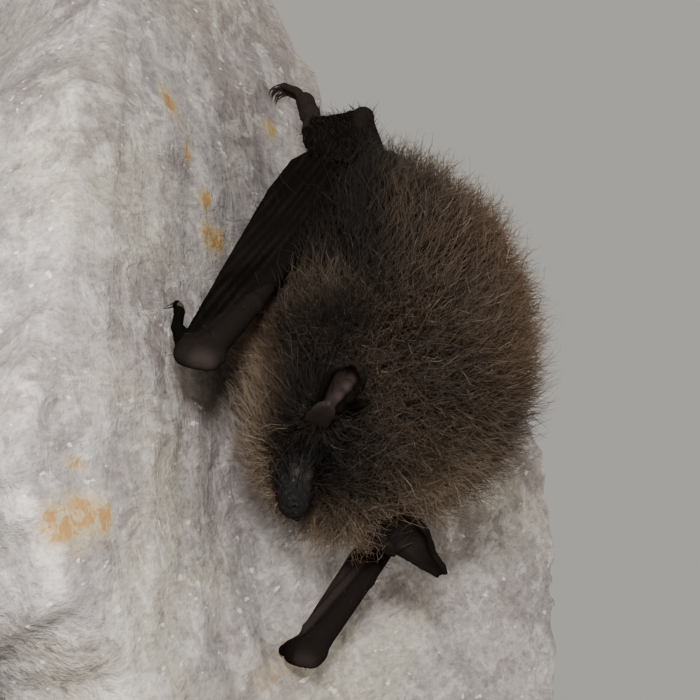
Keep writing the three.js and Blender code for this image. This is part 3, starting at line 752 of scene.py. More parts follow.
def bat_places(mesh):
    """A mesh's points in millimetres from the grip."""
    return point_vectors(mesh, "co") / MILLIMETRE - GRIP


def put_points(mesh, points):
    """Moves a mesh's points to places in millimetres from the grip."""
    mesh.vertices.foreach_set("co", ((points + GRIP) * MILLIMETRE).astype(np.float32).ravel())


def new_mesh(name, points, faces):
    """A mesh from points in millimetres and arrays of faces with equal corners each."""
    mesh = bpy.data.meshes.new(name)
    mesh.vertices.add(len(points))
    put_points(mesh, points)
    loops = np.concatenate([part.ravel() for part in faces])
    sizes = np.concatenate([np.full(len(part), part.shape[1]) for part in faces])
    mesh.loops.add(len(loops))
    mesh.loops.foreach_set("vertex_index", loops.astype(np.int32))
    mesh.polygons.add(len(sizes))
    starts = np.concatenate([[0], np.cumsum(sizes)[:-1]])
    mesh.polygons.foreach_set("loop_start", starts.astype(np.int32))
    mesh.update(calc_edges=True)
    mesh.shade_smooth()
    return mesh


def placed(name, data):
    """A new object in the scene."""
    thing = bpy.data.objects.new(name, data)
    bpy.context.scene.collection.objects.link(thing)
    return thing


def show(name, mesh, material):
    """Puts a mesh in the scene as a piece of the object."""
    piece = placed(name, mesh)
    mesh.materials.append(material)
    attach(piece, "root")
    return piece


def mark(mesh, name, values):
    """Keeps three numbers for each point of a mesh, for its material."""
    layer = mesh.attributes.new(name, "FLOAT_VECTOR", "POINT")
    layer.data.foreach_set("vector", np.ascontiguousarray(values, np.float32).ravel())


def tapered_tube(places, radii, sides=8, steps=10):
    """Points and faces of a closed round tube along a curve, drawn out to a point."""
    shares = np.linspace(0, 1, steps + 1)
    line = through(places, shares)
    width = np.interp(shares, np.linspace(0, 1, len(radii)), radii)
    ahead = unit(np.gradient(line, axis=0))
    aside = unit(np.cross(ahead, vec(0.3, 0.2, 0.93)))
    other = np.cross(ahead, aside)
    turn = np.linspace(0, 2 * math.pi, sides, endpoint=False)
    ring = (np.cos(turn)[None, :, None] * aside[:, None]
            + np.sin(turn)[None, :, None] * other[:, None])
    points = (line[:-1, None] + ring[:-1] * width[:-1, None, None]).reshape(-1, 3)
    points = np.vstack([points, line[-1:], line[:1]])
    around = np.arange(sides)
    after = (around + 1) % sides
    quads = [np.stack([i * sides + around, i * sides + after, (i + 1) * sides + after,
                       (i + 1) * sides + around], 1) for i in range(steps - 1)]
    tip = np.stack([(steps - 1) * sides + around, (steps - 1) * sides + after,
                    np.full(sides, steps * sides)], 1)
    cap = np.stack([after, around, np.full(sides, steps * sides + 1)], 1)
    return points, [np.vstack(quads), tip, cap]


def joined(shapes):
    """One set of points and faces from several."""
    points, quads, triangles, count = [], [], [], 0
    for shape_points, faces in shapes:
        for part in faces:
            (quads if part.shape[1] == 4 else triangles).append(part + count)
        points.append(shape_points)
        count += len(shape_points)
    return np.vstack(points), [np.vstack(part) for part in (quads, triangles) if part]


# ---------------------------------------------------------------- materials

class Shade:
    """A socket of a material's nodes, on which sums are written as they are on numbers."""

    def __init__(self, finish, socket):
        self.finish = finish
        self.socket = socket

    def sum(self, operation, first, second):
        """Adds a Math node."""
        settings = {"operation": operation}
        return self.finish.add("ShaderNodeMath", settings, {0: first, 1: second})

    def __add__(self, other):
        return self.sum("ADD", self, other)

    def __sub__(self, other):
        return self.sum("SUBTRACT", self, other)

    def __rsub__(self, other):
        return self.sum("SUBTRACT", other, self)

    def __mul__(self, other):
        return self.sum("MULTIPLY", self, other)

    def __pow__(self, other):
        return self.sum("POWER", self, other)

    __radd__ = __add__
    __rmul__ = __mul__


class Finish:
    """A material in the making."""

    def __init__(self, name):
        self.material = bpy.data.materials.new(name)
        self.material.use_nodes = True
        self.tree = self.material.node_tree
        self.tree.nodes.clear()

    def add(self, kind, settings=None, inputs=None, output=0):
        """Adds a node, sets it, gives its sockets values or links, and returns an output."""
        node = self.tree.nodes.new(kind)
        for key, value in (settings or {}).items():
            if key == "stops":
                self.set_stops(node.color_ramp, value)
            else:
                setattr(node, key, value)
        for key, value in (inputs or {}).items():
            if isinstance(value, Shade):
                self.tree.links.new(value.socket, node.inputs[key])
            else:
                node.inputs[key].default_value = value
        return Shade(self, node.outputs[output])

    @staticmethod
    def set_stops(ramp, stops):
        """Gives a ramp its stops: position and grey value of each."""
        while len(ramp.elements) < len(stops):
            ramp.elements.new(1)
        for element, (position, value) in zip(ramp.elements, stops):
            element.position = position
            element.color = (value, value, value, 1)

    def place(self):
        """Where a point of the object lies, in metres."""
        return self.add("ShaderNodeTexCoord", output="Object")

    def mask(self, name, part):
        """One of the three numbers kept for each point under a name."""
        whole = self.add("ShaderNodeAttribute", {"attribute_name": name}, output="Vector")
        return self.add("ShaderNodeSeparateXYZ", None, {0: whole}, part)

    def noise(self, size, detail, roughness=0.55, vector=None, distortion=0.0):
        """Cloudy grain whose lumps are about `size` millimetres across."""
        return self.add("ShaderNodeTexNoise", None, {
            "Vector": vector or self.place(), "Scale": 1 / (size * MILLIMETRE), "Detail": detail,
            "Roughness": roughness, "Distortion": distortion})

    def stretched(self, scale, turn):
        """Places turned about Y, then drawn out unevenly along the axes, for streaks."""
        turned = self.add("ShaderNodeVectorRotate", {"rotation_type": "Y_AXIS"},
                          {"Vector": self.place(), "Angle": turn})
        return self.add("ShaderNodeMapping", None, {"Vector": turned, "Scale": scale})

    def ramp(self, value, *stops):
        """A value turned into another by stops."""
        return self.add("ShaderNodeValToRGB", {"stops": stops}, {0: value})

    def mix(self, share, first, second, blend="MIX"):
        """A colour between two, or the first with the second laid over it."""
        first, second = (part if isinstance(part, Shade) else paint(part)
                         for part in (first, second))
        settings = {"data_type": "RGBA", "blend_type": blend, "clamp_factor": True}
        return self.add("ShaderNodeMix", settings, {0: share, 6: first, 7: second}, 2)

    def bump(self, height, strength, depth, under=None):
        """A normal bent by heights, `depth` millimetres deep, over the one under it."""
        inputs = {"Height": height, "Strength": strength, "Distance": depth * MILLIMETRE}
        if under is not None:
            inputs["Normal"] = under
        return self.add("ShaderNodeBump", None, inputs)

    def done(self, **sockets):
        """Ends the material in one principled surface with these sockets."""
        names = {key: key.replace("_", " ").title().replace("Ior", "IOR") for key in sockets}
        surface = self.add("ShaderNodeBsdfPrincipled", None,
                           {names[key]: value for key, value in sockets.items()})
        output = self.tree.nodes.new("ShaderNodeOutputMaterial")
        self.tree.links.new(surface.socket, output.inputs["Surface"])
        return self.material


def paint(colour):
    """A colour setting as the four numbers that a node takes."""
    return (*colour, 1.0)


def skin_material(settings):
    """Bare skin: near black on the wings, grey on the muzzle, flushed inside the ears, with a painted
    sheen on the wrists and painted highlights on the tragus, knees and wing ridges.
    """
    finish = Finish("bat_skin")
    grey, flush, warm = (finish.mask("zones", part) for part in range(3))
    golden = finish.mask("marking", 0)
    blotch = finish.noise(1.6, 4.0)
    base = finish.mix(blotch, settings.dark, settings.brown)
    # the grey zone is the muzzle's own grey, and also a painted sheen on the wrists and a painted
    # highlight on the right tragus's tip
    base = finish.mix(grey, base, settings.grey)
    base = finish.mix(warm * 0.85, base, settings.warm)
    # the flushed zone is the pink skin of ears, glands, feet and wrists, and also painted highlights
    # on the knees and along the wings' ridges and pleats
    base = finish.mix(flush, base, settings.flush)
    base = finish.mix(golden * 0.4, base, settings.warm)
    speckle = finish.ramp(finish.noise(0.22, 2.0), (0.62, 0), (0.78, 1))
    base = finish.mix(speckle * (grey * 0.45 + 0.03), base, settings.speck)
    wrinkle = finish.noise(0.35, 4.0, 0.6, distortion=0.6)
    grain = finish.noise(0.12, 2.0)
    normal = finish.bump(wrinkle, grey * 0.5 + 0.5, 0.2)
    normal = finish.bump(grain, 0.35, 0.05, normal)
    rough = 0.86 - blotch * 0.12 - grey * 0.28
    return finish.done(base_color=base, roughness=rough, normal=normal, specular_ior_level=0.0,
                       coat_weight=grey * 0.1, coat_roughness=0.5)


def coat_material(settings):
    """Hair: blackish root, brown length and golden tip, paler or greyer by its place, and darkened by
    the face's mask and by painted shade in hollows.
    """
    finish = Finish("bat_coat")
    along, tone, rare = (finish.mask("strand", part) for part in range(3))
    golden, grey, dark = (finish.mask("marking", part) for part in range(3))
    tip = finish.mix(golden, settings.tip, settings.golden)
    tip = finish.mix(grey, tip, settings.grey)
    length = finish.mix(golden, settings.length, settings.warm)
    length = finish.mix(grey * 0.5, length, settings.grey)
    rise = finish.ramp(along + grey * 0.3, (0.1, 0), (0.55, 1))
    low = finish.mix(rise, settings.root, length)
    colour = finish.mix(finish.ramp(along, (0.5, 0), (0.95, 1)), low, tip)
    colour = finish.mix(tone, colour, (0.3, 0.3, 0.3), "MULTIPLY")
    pale = finish.ramp(rare, (0.972, 0), (0.986, 1)) * finish.ramp(along, (0.35, 0), (0.6, 1))
    colour = finish.mix(pale * 0.6, colour, settings.pale)
    # the dark marking is the face's mask, and painted shade in the pits and on the right flank
    colour = finish.mix(dark * 0.94, colour, settings.root)
    return finish.done(base_color=colour, roughness=0.55, specular_ior_level=0.14)


def claw_material(settings):
    """Horn: brown, mottled darker by a fine grain."""
    finish = Finish("bat_claw")
    grain = finish.noise(0.3, 3.0)
    colour = finish.mix(grain, settings.claw, settings.dark)
    return finish.done(base_color=colour, roughness=0.28 + grain * 0.14,
                       normal=finish.bump(grain, 0.2, 0.03))


def eye_material():
    """A wet black eye."""
    finish = Finish("bat_eye")
    haze = finish.noise(0.5, 2.0)
    colour = finish.mix(haze, (0.004, 0.003, 0.003), (0.014, 0.009, 0.007))
    return finish.done(base_color=colour, roughness=0.06 + haze * 0.05, coat_weight=0.6)


def rock_material(settings):
    """Lilac grey limestone with slanting streaks, mauve clouds, bright grains, ochre stains, and a
    painted highlight on raised lumps with painted shade in the hollows between them.
    """
    finish = Finish("cave_rock")
    slope = math.radians(53)
    flat = finish.stretched((0.32, 1, 1), slope)
    band = finish.noise(7.0, 5.0, 0.6, finish.stretched((1, 1, 0.5), slope), 0.5)
    streak = finish.noise(2.4, 5.0, 0.66, finish.stretched((0.7, 1, 0.6), slope), 0.4)
    cloud = finish.noise(16, 4.0, 0.55, flat, 0.5)
    mauve = finish.noise(9, 6.0, 0.66, flat, 0.6)
    lump = finish.noise(2.6, 5.0, 0.66, flat, 0.5)
    fine = finish.noise(0.5, 4.0, 0.72, flat)
    stone = finish.mix(finish.ramp(band, (0.36, 0), (0.6, 1)), settings.shade, settings.pale)
    cloud = finish.ramp(cloud + finish.mask("stain", 2) * 0.13, (0.5, 0), (0.62, 1))
    stone = finish.mix(cloud * 0.8, stone, settings.warm)
    mauve = finish.ramp(mauve + finish.mask("stain", 1) * 0.16, (0.5, 0), (0.66, 1))
    stone = finish.mix(mauve * 0.8, stone, settings.mauve)
    stone = finish.mix(finish.ramp(streak, (0.53, 0), (0.62, 1)) * 0.5, stone, settings.light)
    # painted highlight on the raised lumps, and painted shade in the hollows between them
    stone = finish.mix(finish.ramp(lump, (0.56, 0), (0.61, 1)) * 0.55, stone, settings.light)
    stone = finish.mix(finish.ramp(lump, (0.38, 1), (0.42, 0)) * 0.55, stone, settings.mauve)
    grain = finish.ramp(fine, (0.32, 0.66), (0.6, 1.1))
    stone = finish.mix(1.0, stone, finish.add("ShaderNodeCombineColor", None,
                                              {0: grain, 1: grain, 2: grain}), "MULTIPLY")
    speck = finish.ramp(finish.noise(0.8, 2.0, 0.5, flat), (0.69, 0), (0.715, 1))
    stone = finish.mix(speck * 0.9, stone, settings.speck)
    patchy = finish.noise(1.1, 5.0, 0.75, finish.stretched((0.7, 1, 1), slope), 0.3)
    stained = finish.mask("stain", 0)
    halo = finish.ramp(patchy * 0.9 + stained * 0.6, (0.62, 0), (0.9, 1))
    stone = finish.mix(halo * stained ** 0.35 * 0.75, stone, settings.yellow)
    core = finish.ramp(patchy * 1.2 + stained * 0.4, (0.88, 0), (1.0, 1))
    stone = finish.mix(core * stained ** 0.6 * 0.9, stone, settings.ochre)
    normal = finish.bump(lump, 0.6, 0.9)
    normal = finish.bump(streak, 0.5, 0.6, normal)
    normal = finish.bump(fine, 0.5, 0.12, normal)
    return finish.done(base_color=stone, roughness=0.9 - fine * 0.25, normal=normal,
                       specular_ior_level=0.35)


def stand_material(settings):
    """Satin dark paint with a faint orange-peel."""
    finish = Finish("stand_paint")
    peel = finish.noise(0.8, 2.0)
    wear = finish.noise(14, 4.0)
    colour = finish.mix(wear * 0.35, settings.stand, settings.stand_worn)
    return finish.done(base_color=colour, roughness=0.36 + wear * 0.16,
                       normal=finish.bump(peel, 0.12, 0.05), specular_ior_level=0.5)


def floor_material(colour):
    """A matt backdrop."""
    finish = Finish("floor")
    cloud = finish.noise(60, 2.0)
    shade = finish.mix(cloud * 0.12, colour, [c * 0.9 for c in colour])
    return finish.done(base_color=shade, roughness=0.95)


# ---------------------------------------------------------------- settings

def colour_setting(name, description, default):
    """A colour that the user can change."""
    return FloatVectorProperty(name=name, description=description, subtype="COLOR", size=3,
                               min=0, max=1, default=default)


class BatSkinSettings(bpy.types.PropertyGroup):
    """Sizes and colours of the bare skin."""

    step: FloatProperty(name="Grain", description="Spacing of the skin's mesh, in millimetres",
                        default=0.25, min=0.15, max=1)
    dark: colour_setting("Dark skin", "Wings and membranes", (0.0028, 0.0026, 0.0022))
    brown: colour_setting("Brown skin", "Lighter blotches of the wings", (0.0052, 0.0045, 0.0037))
    warm: colour_setting("Warm skin", "Forearms, legs, ears and the skin under golden hair",
                         (0.0125, 0.0097, 0.0083))
    # grey skin is also the colour of the painted sheen on the wrists and of the tragus's painted
    # highlight
    grey: colour_setting("Grey skin", "Bare muzzle", (0.0128, 0.012, 0.0118))
    # flushed skin is also the colour of the painted highlights on the knees and along the wings'
    # ridges and pleats
    flush: colour_setting("Flushed skin", "Inside of the ears, knees and wrists",
                          (0.085, 0.063, 0.057))
    speck: colour_setting("Specks", "Pale grains on the muzzle", (0.12, 0.11, 0.105))
    claw: colour_setting("Claw", "Horn of the claws", (0.045, 0.03, 0.02))


class BatCoatSettings(bpy.types.PropertyGroup):
    """Count, size and colours of the hairs."""

    woolly: IntProperty(name="Woolly hairs", description="Number of short dense hairs",
                        default=45000, min=1)
    long: IntProperty(name="Long hairs", description="Number of hairs that reach the coat's tips",
                      default=14000, min=1)
    down: IntProperty(name="Down hairs", description="Number of hairs on membranes and legs",
                      default=4200, min=1)
    whiskers: IntProperty(name="Whiskers", description="Number of whiskers", default=46, min=1)
    radius: FloatProperty(name="Hair radius", description="Of a tuft at its root, in millimetres",
                          default=0.036, min=0.01, max=0.5)
    slant: FloatProperty(name="Slant", description="How far hairs lean along the lie of the coat",
                         default=0.75, min=0, max=3)
    clump: FloatProperty(name="Clump", description="Distance between clumps, in millimetres",
                         default=1.9, min=0.3, max=5)
    root: colour_setting("Root", "Base of the hairs", (0.0068, 0.0054, 0.0045))
    length: colour_setting("Length", "Middle of the hairs", (0.049, 0.038, 0.031))
    tip: colour_setting("Tip", "Ends of the hairs", (0.112, 0.082, 0.06))
    warm: colour_setting("Warm length", "Middle of the hairs at the sides", (0.1, 0.062, 0.037))
    golden: colour_setting("Golden tip", "Ends of the hairs at the sides", (0.25, 0.155, 0.088))
    grey: colour_setting("Grey tip", "Ends of the hairs at throat and armpit", (0.43, 0.335, 0.24))
    pale: colour_setting("Pale hairs", "The few light hairs in the coat", (0.4, 0.32, 0.25))


class BatRockSettings(bpy.types.PropertyGroup):
    """Grain and colours of the piece of cave wall and the stand."""

    grain: FloatProperty(name="Grain", description="Spacing of the rock's mesh, in metres",
                         subtype="DISTANCE", default=0.0009, min=0.0004, max=0.01)
    relief: FloatProperty(name="Relief", description="Height of the rock's small lumps",
                          subtype="DISTANCE", default=0.0004, min=0, max=0.003)
    pale: colour_setting("Pale stone", "Main colour", (0.47, 0.415, 0.39))
    shade: colour_setting("Grey stone", "Streaks", (0.31, 0.28, 0.272))
    warm: colour_setting("Warm stone", "Broad yellowish clouds", (0.5, 0.45, 0.365))
    # mauve stone also paints the shade in the hollows between the lumps, and light stone the
    # highlight on raised lumps
    mauve: colour_setting("Mauve stone", "Darker clouds", (0.235, 0.19, 0.178))
    light: colour_setting("Light stone", "Raised lumps", (0.66, 0.61, 0.57))
    speck: colour_setting("Specks", "Small bright grains", (0.8, 0.78, 0.74))
    ochre: colour_setting("Ochre", "Middle of the stains", (0.42, 0.21, 0.05))
    yellow: colour_setting("Yellow", "Edges of the stains", (0.52, 0.4, 0.19))
    stand: colour_setting("Stand", "Paint of the stand", (0.028, 0.03, 0.033))
    stand_worn: colour_setting("Worn paint", "Lighter clouds in the paint", (0.05, 0.052, 0.055))


class BatStageSettings(bpy.types.PropertyGroup):
    """Camera, floor and lights."""

    target: FloatVectorProperty(name="Target", description="Place that the camera looks at",
                                subtype="TRANSLATION", default=(0.0045, -0.006, 0.1294))
    distance: FloatProperty(name="Distance", description="From the camera to its target",
                            subtype="DISTANCE", default=0.15)
    azimuth: FloatProperty(name="Azimuth", subtype="ANGLE", default=math.radians(-66.5),
                           description="Camera's bearing, from straight before the wall")
    elevation: FloatProperty(name="Elevation", subtype="ANGLE", default=math.radians(-53.5),
                             description="Camera's height; below zero it looks up")
    roll: FloatProperty(name="Roll", description="Turn of the camera about its own line",
                        subtype="ANGLE", default=math.radians(5.5))
    lens: FloatProperty(name="Lens", description="Focal length, in millimetres", default=81.2)
    floor: colour_setting("Floor", "Floor and surroundings", (0.8, 0.77, 0.71))
    key: FloatProperty(name="Key light", description="Power of the lamp beside the camera, in watts",
                       default=0.13)
    fill: FloatProperty(name="Fill light", description="Strength of the even light all round",
                        default=0.55)


# ---------------------------------------------------------------- skin and coat from the settings

def skin_zones(points, kinds):
    """Shares of grey, flushed and warm brown skin at points of the skin. The grey share also holds a
    painted sheen on the wrists and a painted highlight on the right tragus's tip, the flushed share
    painted highlights on the knees and along the wings' ridges and pleats, and the grey is darkened
    by painted shade in the muzzle's groove.
    """
    back, _, right = head_places(points)
    # painted shade: the muzzle's grey is darkened along the groove between its glands
    groove_shade = np.exp(-(right / 0.55) ** 2) * smooth(back, 1.2, 2.6)
    grey = fade(back, 4.5, 7) * fade(kinds["head"], 0.3, 0.9)
    grey = grey * (1 - 0.45 * groove_shade) * (0.72 + 0.28 * smooth(back, 0.6, 2.2))
    flush = 0.3 * fade(kinds["foot"], 0.2, 0.8)
    bare = np.minimum.reduce([kinds[kind] for kind in ("leg", "sheet", "ear", "tragus")])
    warm = 0.85 * fade(bare, 0.1, 0.4)
    for side in SIDES.values():
        gland = apart(points, on_head(3.4, 1.2, side * 1.25))
        flush = np.maximum(flush, 0.16 * fade(gland, 0.4, 1.4))
    for ear in EARS.values():
        share, turn, off, inner = ear_places(points, ear)
        lined = smooth(inner, 0.0, 0.12) * fade(off, 0.5, 0.8)
        lined = lined * fade(np.abs(turn), 0.45, 0.8) * fade(share, 0.72, 0.92)
        lined = np.maximum(lined, 0.24 * fade(tragus_skin(points, ear), 0.1, 0.3))
        flush = np.maximum(flush, lined * (1.0 if ear["side"] > 0 else 0.15))
    # painted highlight: the tip of the right tragus is made paler grey
    tragus_tip = EARS["right"]["root"] + ear_axes(EARS["right"])[0] * (TRAGUS_LENGTH + 1)
    tragus_highlight = fade(apart(points, tragus_tip), 0.9, 2.2) * (kinds["tragus"] < 0.3)
    grey = np.maximum(grey, 0.4 * tragus_highlight)
    # painted highlight: a pinkish patch on each knee, in the flushed share
    for leg in LEGS.values():
        flush = np.maximum(flush, 0.22 * fade(apart(points, leg["knee"]), 0.6, 1.6))
    for wing in WINGS.values():
        heel = apart(points, on_wing(wing, FOREARM + 1.9, -0.6))
        flush = np.maximum(flush, 0.2 * fade(heel, 0.4, 1.6))
        # painted sheen: a grey patch over each wrist
        wrist = apart(points, on_wing(wing, FOREARM - 0.3, 0.3, 0.9))
        grey = np.maximum(grey, 0.3 * fade(wrist, 0.5, 2.0))
        along, across, _ = wing_places(points, wing)
        bone = fade(kinds["arm"], 0.1, 0.5) * (across < 0.4)
        pleated = fade(kinds["wing"], 0.1, 0.4)
        warm = np.maximum(warm, 0.4 * pleated * smooth(across, 3.4, 4.4))
        if wing["side"] < 0:
            warm = np.maximum(warm, 0.4 * bone)
            # painted highlight: lighter lines along the pleats of the right wing
            lines = np.cos(across * 4.1 + 0.7 * np.sin(along * 0.17)) ** 8
            flush = np.maximum(flush, 0.11 * lines * pleated * (0.55 + 0.45 * waves(points, 5.0)))
        else:
            here = pleated * (points[:, 0] > 0)
            warm = np.maximum(warm, np.maximum(bone, 0.8 * here))
            # painted highlight along the ridge on the left wing
            ridge = bar_distance(points, on_wing(wing, 22, -0.9, 0.9), on_wing(wing, 33, 1.1, 0.9),
                                 0.2)
            flush = np.maximum(flush, np.maximum(0.18 * here, 0.2 * fade(ridge, 0, 0.5)))
    return np.stack([grey, flush, warm], 1)


def by_wall(points, out, near, low, deep):
    """Share by which points lie back towards the wall and down by the throat."""
    return smooth(points[:, 1], out, near) * smooth(-points[:, 2], low, deep)


def coat_marking(points):
    """Shares of golden, greyish and dark hair at points of the coat. The dark share is the face's own
    mask, and painted shade in the pits by the right arm and on the right flank by the wing and the
    wall.
    """
    body = unit((points - COAT_BODY["centre"]) / COAT_BODY["axes"])
    golden = 0.2 + 0.8 * smooth(-body[:, 1] + 0.25 * body[:, 2], 0.45, 1.0)
    golden = np.clip(golden + 0.3 * waves(points, 8.0), 0, 1)
    cheek = smooth(-points[:, 2], 46, 52) * smooth(points[:, 0], 1, 6)
    golden = np.maximum(golden, np.maximum(by_wall(points, -7.5, -4, 38, 44), 0.8 * cheek))
    rim = by_wall(points, -4.9, -2.2, 38, 44)
    armpit = patch(points, *ARMPIT)
    grey = np.maximum(np.maximum(0.85 * rim, 0.4 * cheek), 0.4 * armpit)
    # painted shade: hair darkened on the right flank, by the wing and against the wall
    flank = smooth(points[:, 1], -17.5, -14.3) * smooth(-points[:, 0], 9, 12)
    flank = flank * fade(-points[:, 2], 40, 45)
    # painted shade in the hollows by the right armpit
    pit_shade = np.maximum(patch(points, *SHADED_PITS[0]), 0.85 * patch(points, *SHADED_PITS[1]))
    mask = np.maximum(patch(points, *MASKS[0]), patch(points, *MASKS[1]))
    dark = np.clip(np.maximum(1.4 * mask, np.maximum(flank * 0.9, pit_shade)), 0, 1)
    dark = dark * (1 - 0.45 * armpit) * (1 - 0.8 * rim)
    return np.stack([golden * (1 - dark), grey * (1 - dark), dark], 1)


def swirl(points, size):
    """A direction that wanders smoothly from place to place, turning within about `size`."""
    p = points * (2 * math.pi / size)
    turns = [np.sin(p @ vec(0.9, 0.35, 0.2) + 0.4) + np.sin(p @ vec(-0.3, 0.8, 0.7) + 2.1),
             np.sin(p @ vec(0.25, -0.9, 0.45) + 1.3) + np.sin(p @ vec(0.75, 0.4, -0.6) + 5.0),
             np.sin(p @ vec(-0.5, 0.2, 0.95) + 3.3) + np.sin(p @ vec(0.6, -0.7, 0.3) + 0.9)]
    return 0.5 * np.stack(turns, 1)


def lie_of_coat(points, normals):
    """The way hairs lean: from the nose towards the rump, along the skin, in loose whorls."""
    lean = unit(points - NOSE) + vec(0, -0.1, 0.55)
    lean = unit(lean - normals * np.sum(lean * normals, axis=1, keepdims=True))
    lean = lean + 0.55 * swirl(points, 7.0) + 0.45 * swirl(points[:, ::-1], 3.1)
    lean -= normals * np.sum(lean * normals, axis=1, keepdims=True)
    standing = 0.2 + 0.8 * smooth(points[:, 2], -52, -43)
    face = fade(lobe_distance(points, HEAD_DEPTH), 0.3, 1.4)
    return lean * np.maximum(standing, face)[:, None]


def scatter(points, triangles, weights, count, rng):
    """Places spread over a mesh by weight: triangle numbers and places."""
    a, b, c = (points[triangles[:, i]] for i in range(3))
    area = np.linalg.norm(np.cross(b - a, c - a), axis=1) * weights
    walk = np.cumsum(area)
    chosen = np.searchsorted(walk, (np.arange(count) + rng.random(count)) / count * walk[-1])
    chosen = np.minimum(chosen, len(triangles) - 1)
    u, v = rng.random(count), rng.random(count)
    fold = u + v > 1
    u[fold], v[fold] = 1 - u[fold], 1 - v[fold]
    place = a[chosen] + (b - a)[chosen] * u[:, None] + (c - a)[chosen] * v[:, None]
    return chosen, place


def chord_length(roots, heading, target, longest):
    """How far hairs must go from their roots to come within target of the furred form."""
    length = np.full(len(roots), 0.3)
    for _ in range(9):
        length += np.maximum(target - coat_reach(roots + heading * length[:, None]), -0.6) * 0.9
        length = np.clip(length, 0.25, longest)
    return length


def hair_lines(roots, heading, normals, length, bend, curl, rings, rng):
    """Bent lines of points from each root to its tip, kinked at random by `curl`."""
    shares = (np.linspace(0, 1, rings) ** 0.65)[None, :, None]
    run = length[:, None, None]
    line = roots[:, None] + heading[:, None] * run * shares
    line = line + normals[:, None] * run * bend * shares * (1 - shares)
    kinks = rng.normal(0, curl, (len(roots), rings, 3)) * np.minimum(run / 3, 1)
    kinks[:, 0] = 0
    return line + np.cumsum(kinks, axis=1)


def draw_together(lines, roots, spacing, pull, rng):
    """Leans hairs towards the nearest leading hair, most at their tips, so they clump."""
    leaders = rng.permutation(len(roots))[:max(int(3800 / spacing ** 2), 8)]
    tree = KDTree(len(leaders))
    for number, leader in enumerate(leaders):
        tree.insert(roots[leader], number)
    tree.balance()
    nearest = np.array([leaders[tree.find(root)[1]] for root in roots])
    shares = np.linspace(0, 1, lines.shape[1])[None, :, None] ** 1.4
    amount = pull * rng.uniform(0.4, 1.0, (len(roots), 1, 1))
    return lines + (lines[nearest] - lines) * shares * amount


def hair_mesh(name, lines, radius, strand, marking, centre, rng):
    """Three-sided hairs drawn out to a point, with their marks and their places in OFBake."""
    count, rings, _ = lines.shape
    ahead = unit(np.gradient(lines, axis=1))
    turned = unit(rng.normal(size=(count, 1, 3)))
    aside = unit(np.cross(ahead, np.broadcast_to(turned, ahead.shape)))
    other = np.cross(ahead, aside)
    shares = np.linspace(0, 1, rings)
    width = radius[:, None] * (1 - shares[None, :-1]) ** 0.6
    ring_points = []
    for corner in range(3):
        turn = corner * 2 * math.pi / 3
        ring = math.cos(turn) * aside[:, :-1] + math.sin(turn) * other[:, :-1]
        ring_points.append(lines[:, :-1] + ring * width[:, :, None])
    rows = np.stack(ring_points, 2).reshape(count, -1, 3)
    points = np.concatenate([rows, lines[:, -1:]], 1)
    each = points.shape[1]
    quads = [(3 * r + a, 3 * r + b, 3 * r + 3 + b, 3 * r + 3 + a)
             for r in range(rings - 2) for a, b in ((0, 1), (1, 2), (2, 0))]
    last = 3 * (rings - 2)
    triangles = [(2, 1, 0)] + [(last + a, last + b, each - 1) for a, b in ((0, 1), (1, 2), (2, 0))]
    start = (np.arange(count) * each)[:, None, None]
    faces = [(np.array(part)[None] + start).reshape(-1, len(part[0]))
             for part in (quads, triangles) if part]
    mesh = new_mesh(name, points.reshape(-1, 3), faces)
    along = np.concatenate([np.repeat(shares[:-1], 3), [1.0]])
    marks = np.empty((count, each, 3))
    marks[:, :, 0] = along
    marks[:, :, 1:] = strand[:, None]
    mark(mesh, "strand", marks.reshape(-1, 3))
    mark(mesh, "marking", np.repeat(marking, each, axis=0))
    place = lines[:, 0] - centre
    unwrap = np.stack([np.arctan2(place[:, 0], -place[:, 1]) / (2 * math.pi) + 0.5,
                       0.5 + place[:, 2] / UNWRAP_HEIGHT], 1)
    corner_x = np.concatenate([np.tile((-0.5, 0.5, 0.0), rings - 1), [0.0]]) * BAKE_PATCH
    spots = np.empty((count, each, 2))
    spots[:, :, 0] = np.clip(unwrap[:, None, 0], 0.01, 0.99) + corner_x
    spots[:, :, 1] = np.clip(unwrap[:, None, 1], 0.01, 0.99) + (along - 0.5) * BAKE_PATCH
    layer = mesh.uv_layers.new(name="OFBake")
    corners = np.empty(len(mesh.loops), np.int32)
    mesh.loops.foreach_get("vertex_index", corners)
    layer.data.foreach_set("uv", spots.reshape(-1, 2)[corners].astype(np.float32).ravel())
    return mesh


class Pelt:
    """What the coat needs to know of the finished skin: where hair grows and how deep."""

    def __init__(self, mesh, flesh):
        mesh.calc_loop_triangles()
        self.flesh = flesh
        self.points = bat_places(mesh)
        corners = np.empty(len(mesh.loop_triangles) * 3, np.int32)
        mesh.loop_triangles.foreach_get("vertices", corners)
        self.triangles = corners.reshape(-1, 3)
        self.normals = point_vectors(mesh, "normal")
        self.kinds = flesh.nearest_kind(self.points)
        limbs = [self.kinds[kind] for kind in
                 ("wing", "arm", "thumb", "leg", "foot", "sheet", "tail")]
        self.bare = np.minimum(np.min(limbs, axis=0), bare_ears(self.points))

    def roots(self, values, count, rng):
        """Places on the skin, spread by values at its points, with the normals there."""
        weights = values[self.triangles].mean(1)
        chosen, place = scatter(self.points, self.triangles, weights, count, rng)
        normals = unit(self.normals[self.triangles[chosen]].mean(1))
        return place, normals


def bare_ears(points):
    """Distance from the part of each ear, and of the right tragus, that stands out of the fur."""
    whole = np.full(len(points), FAR)
    for name, rule, covered in (("right", tragus_skin, 0.6), ("right", ear_skin, 0),
                                ("left", ear_skin, 0)):
        ear = EARS[name]
        run = (points - ear["root"]) @ ear_axes(ear)[0]
        bare = np.where(run < ear["furry"] + covered, FAR, rule(points, ear))
        whole = np.minimum(whole, bare)
    return whole


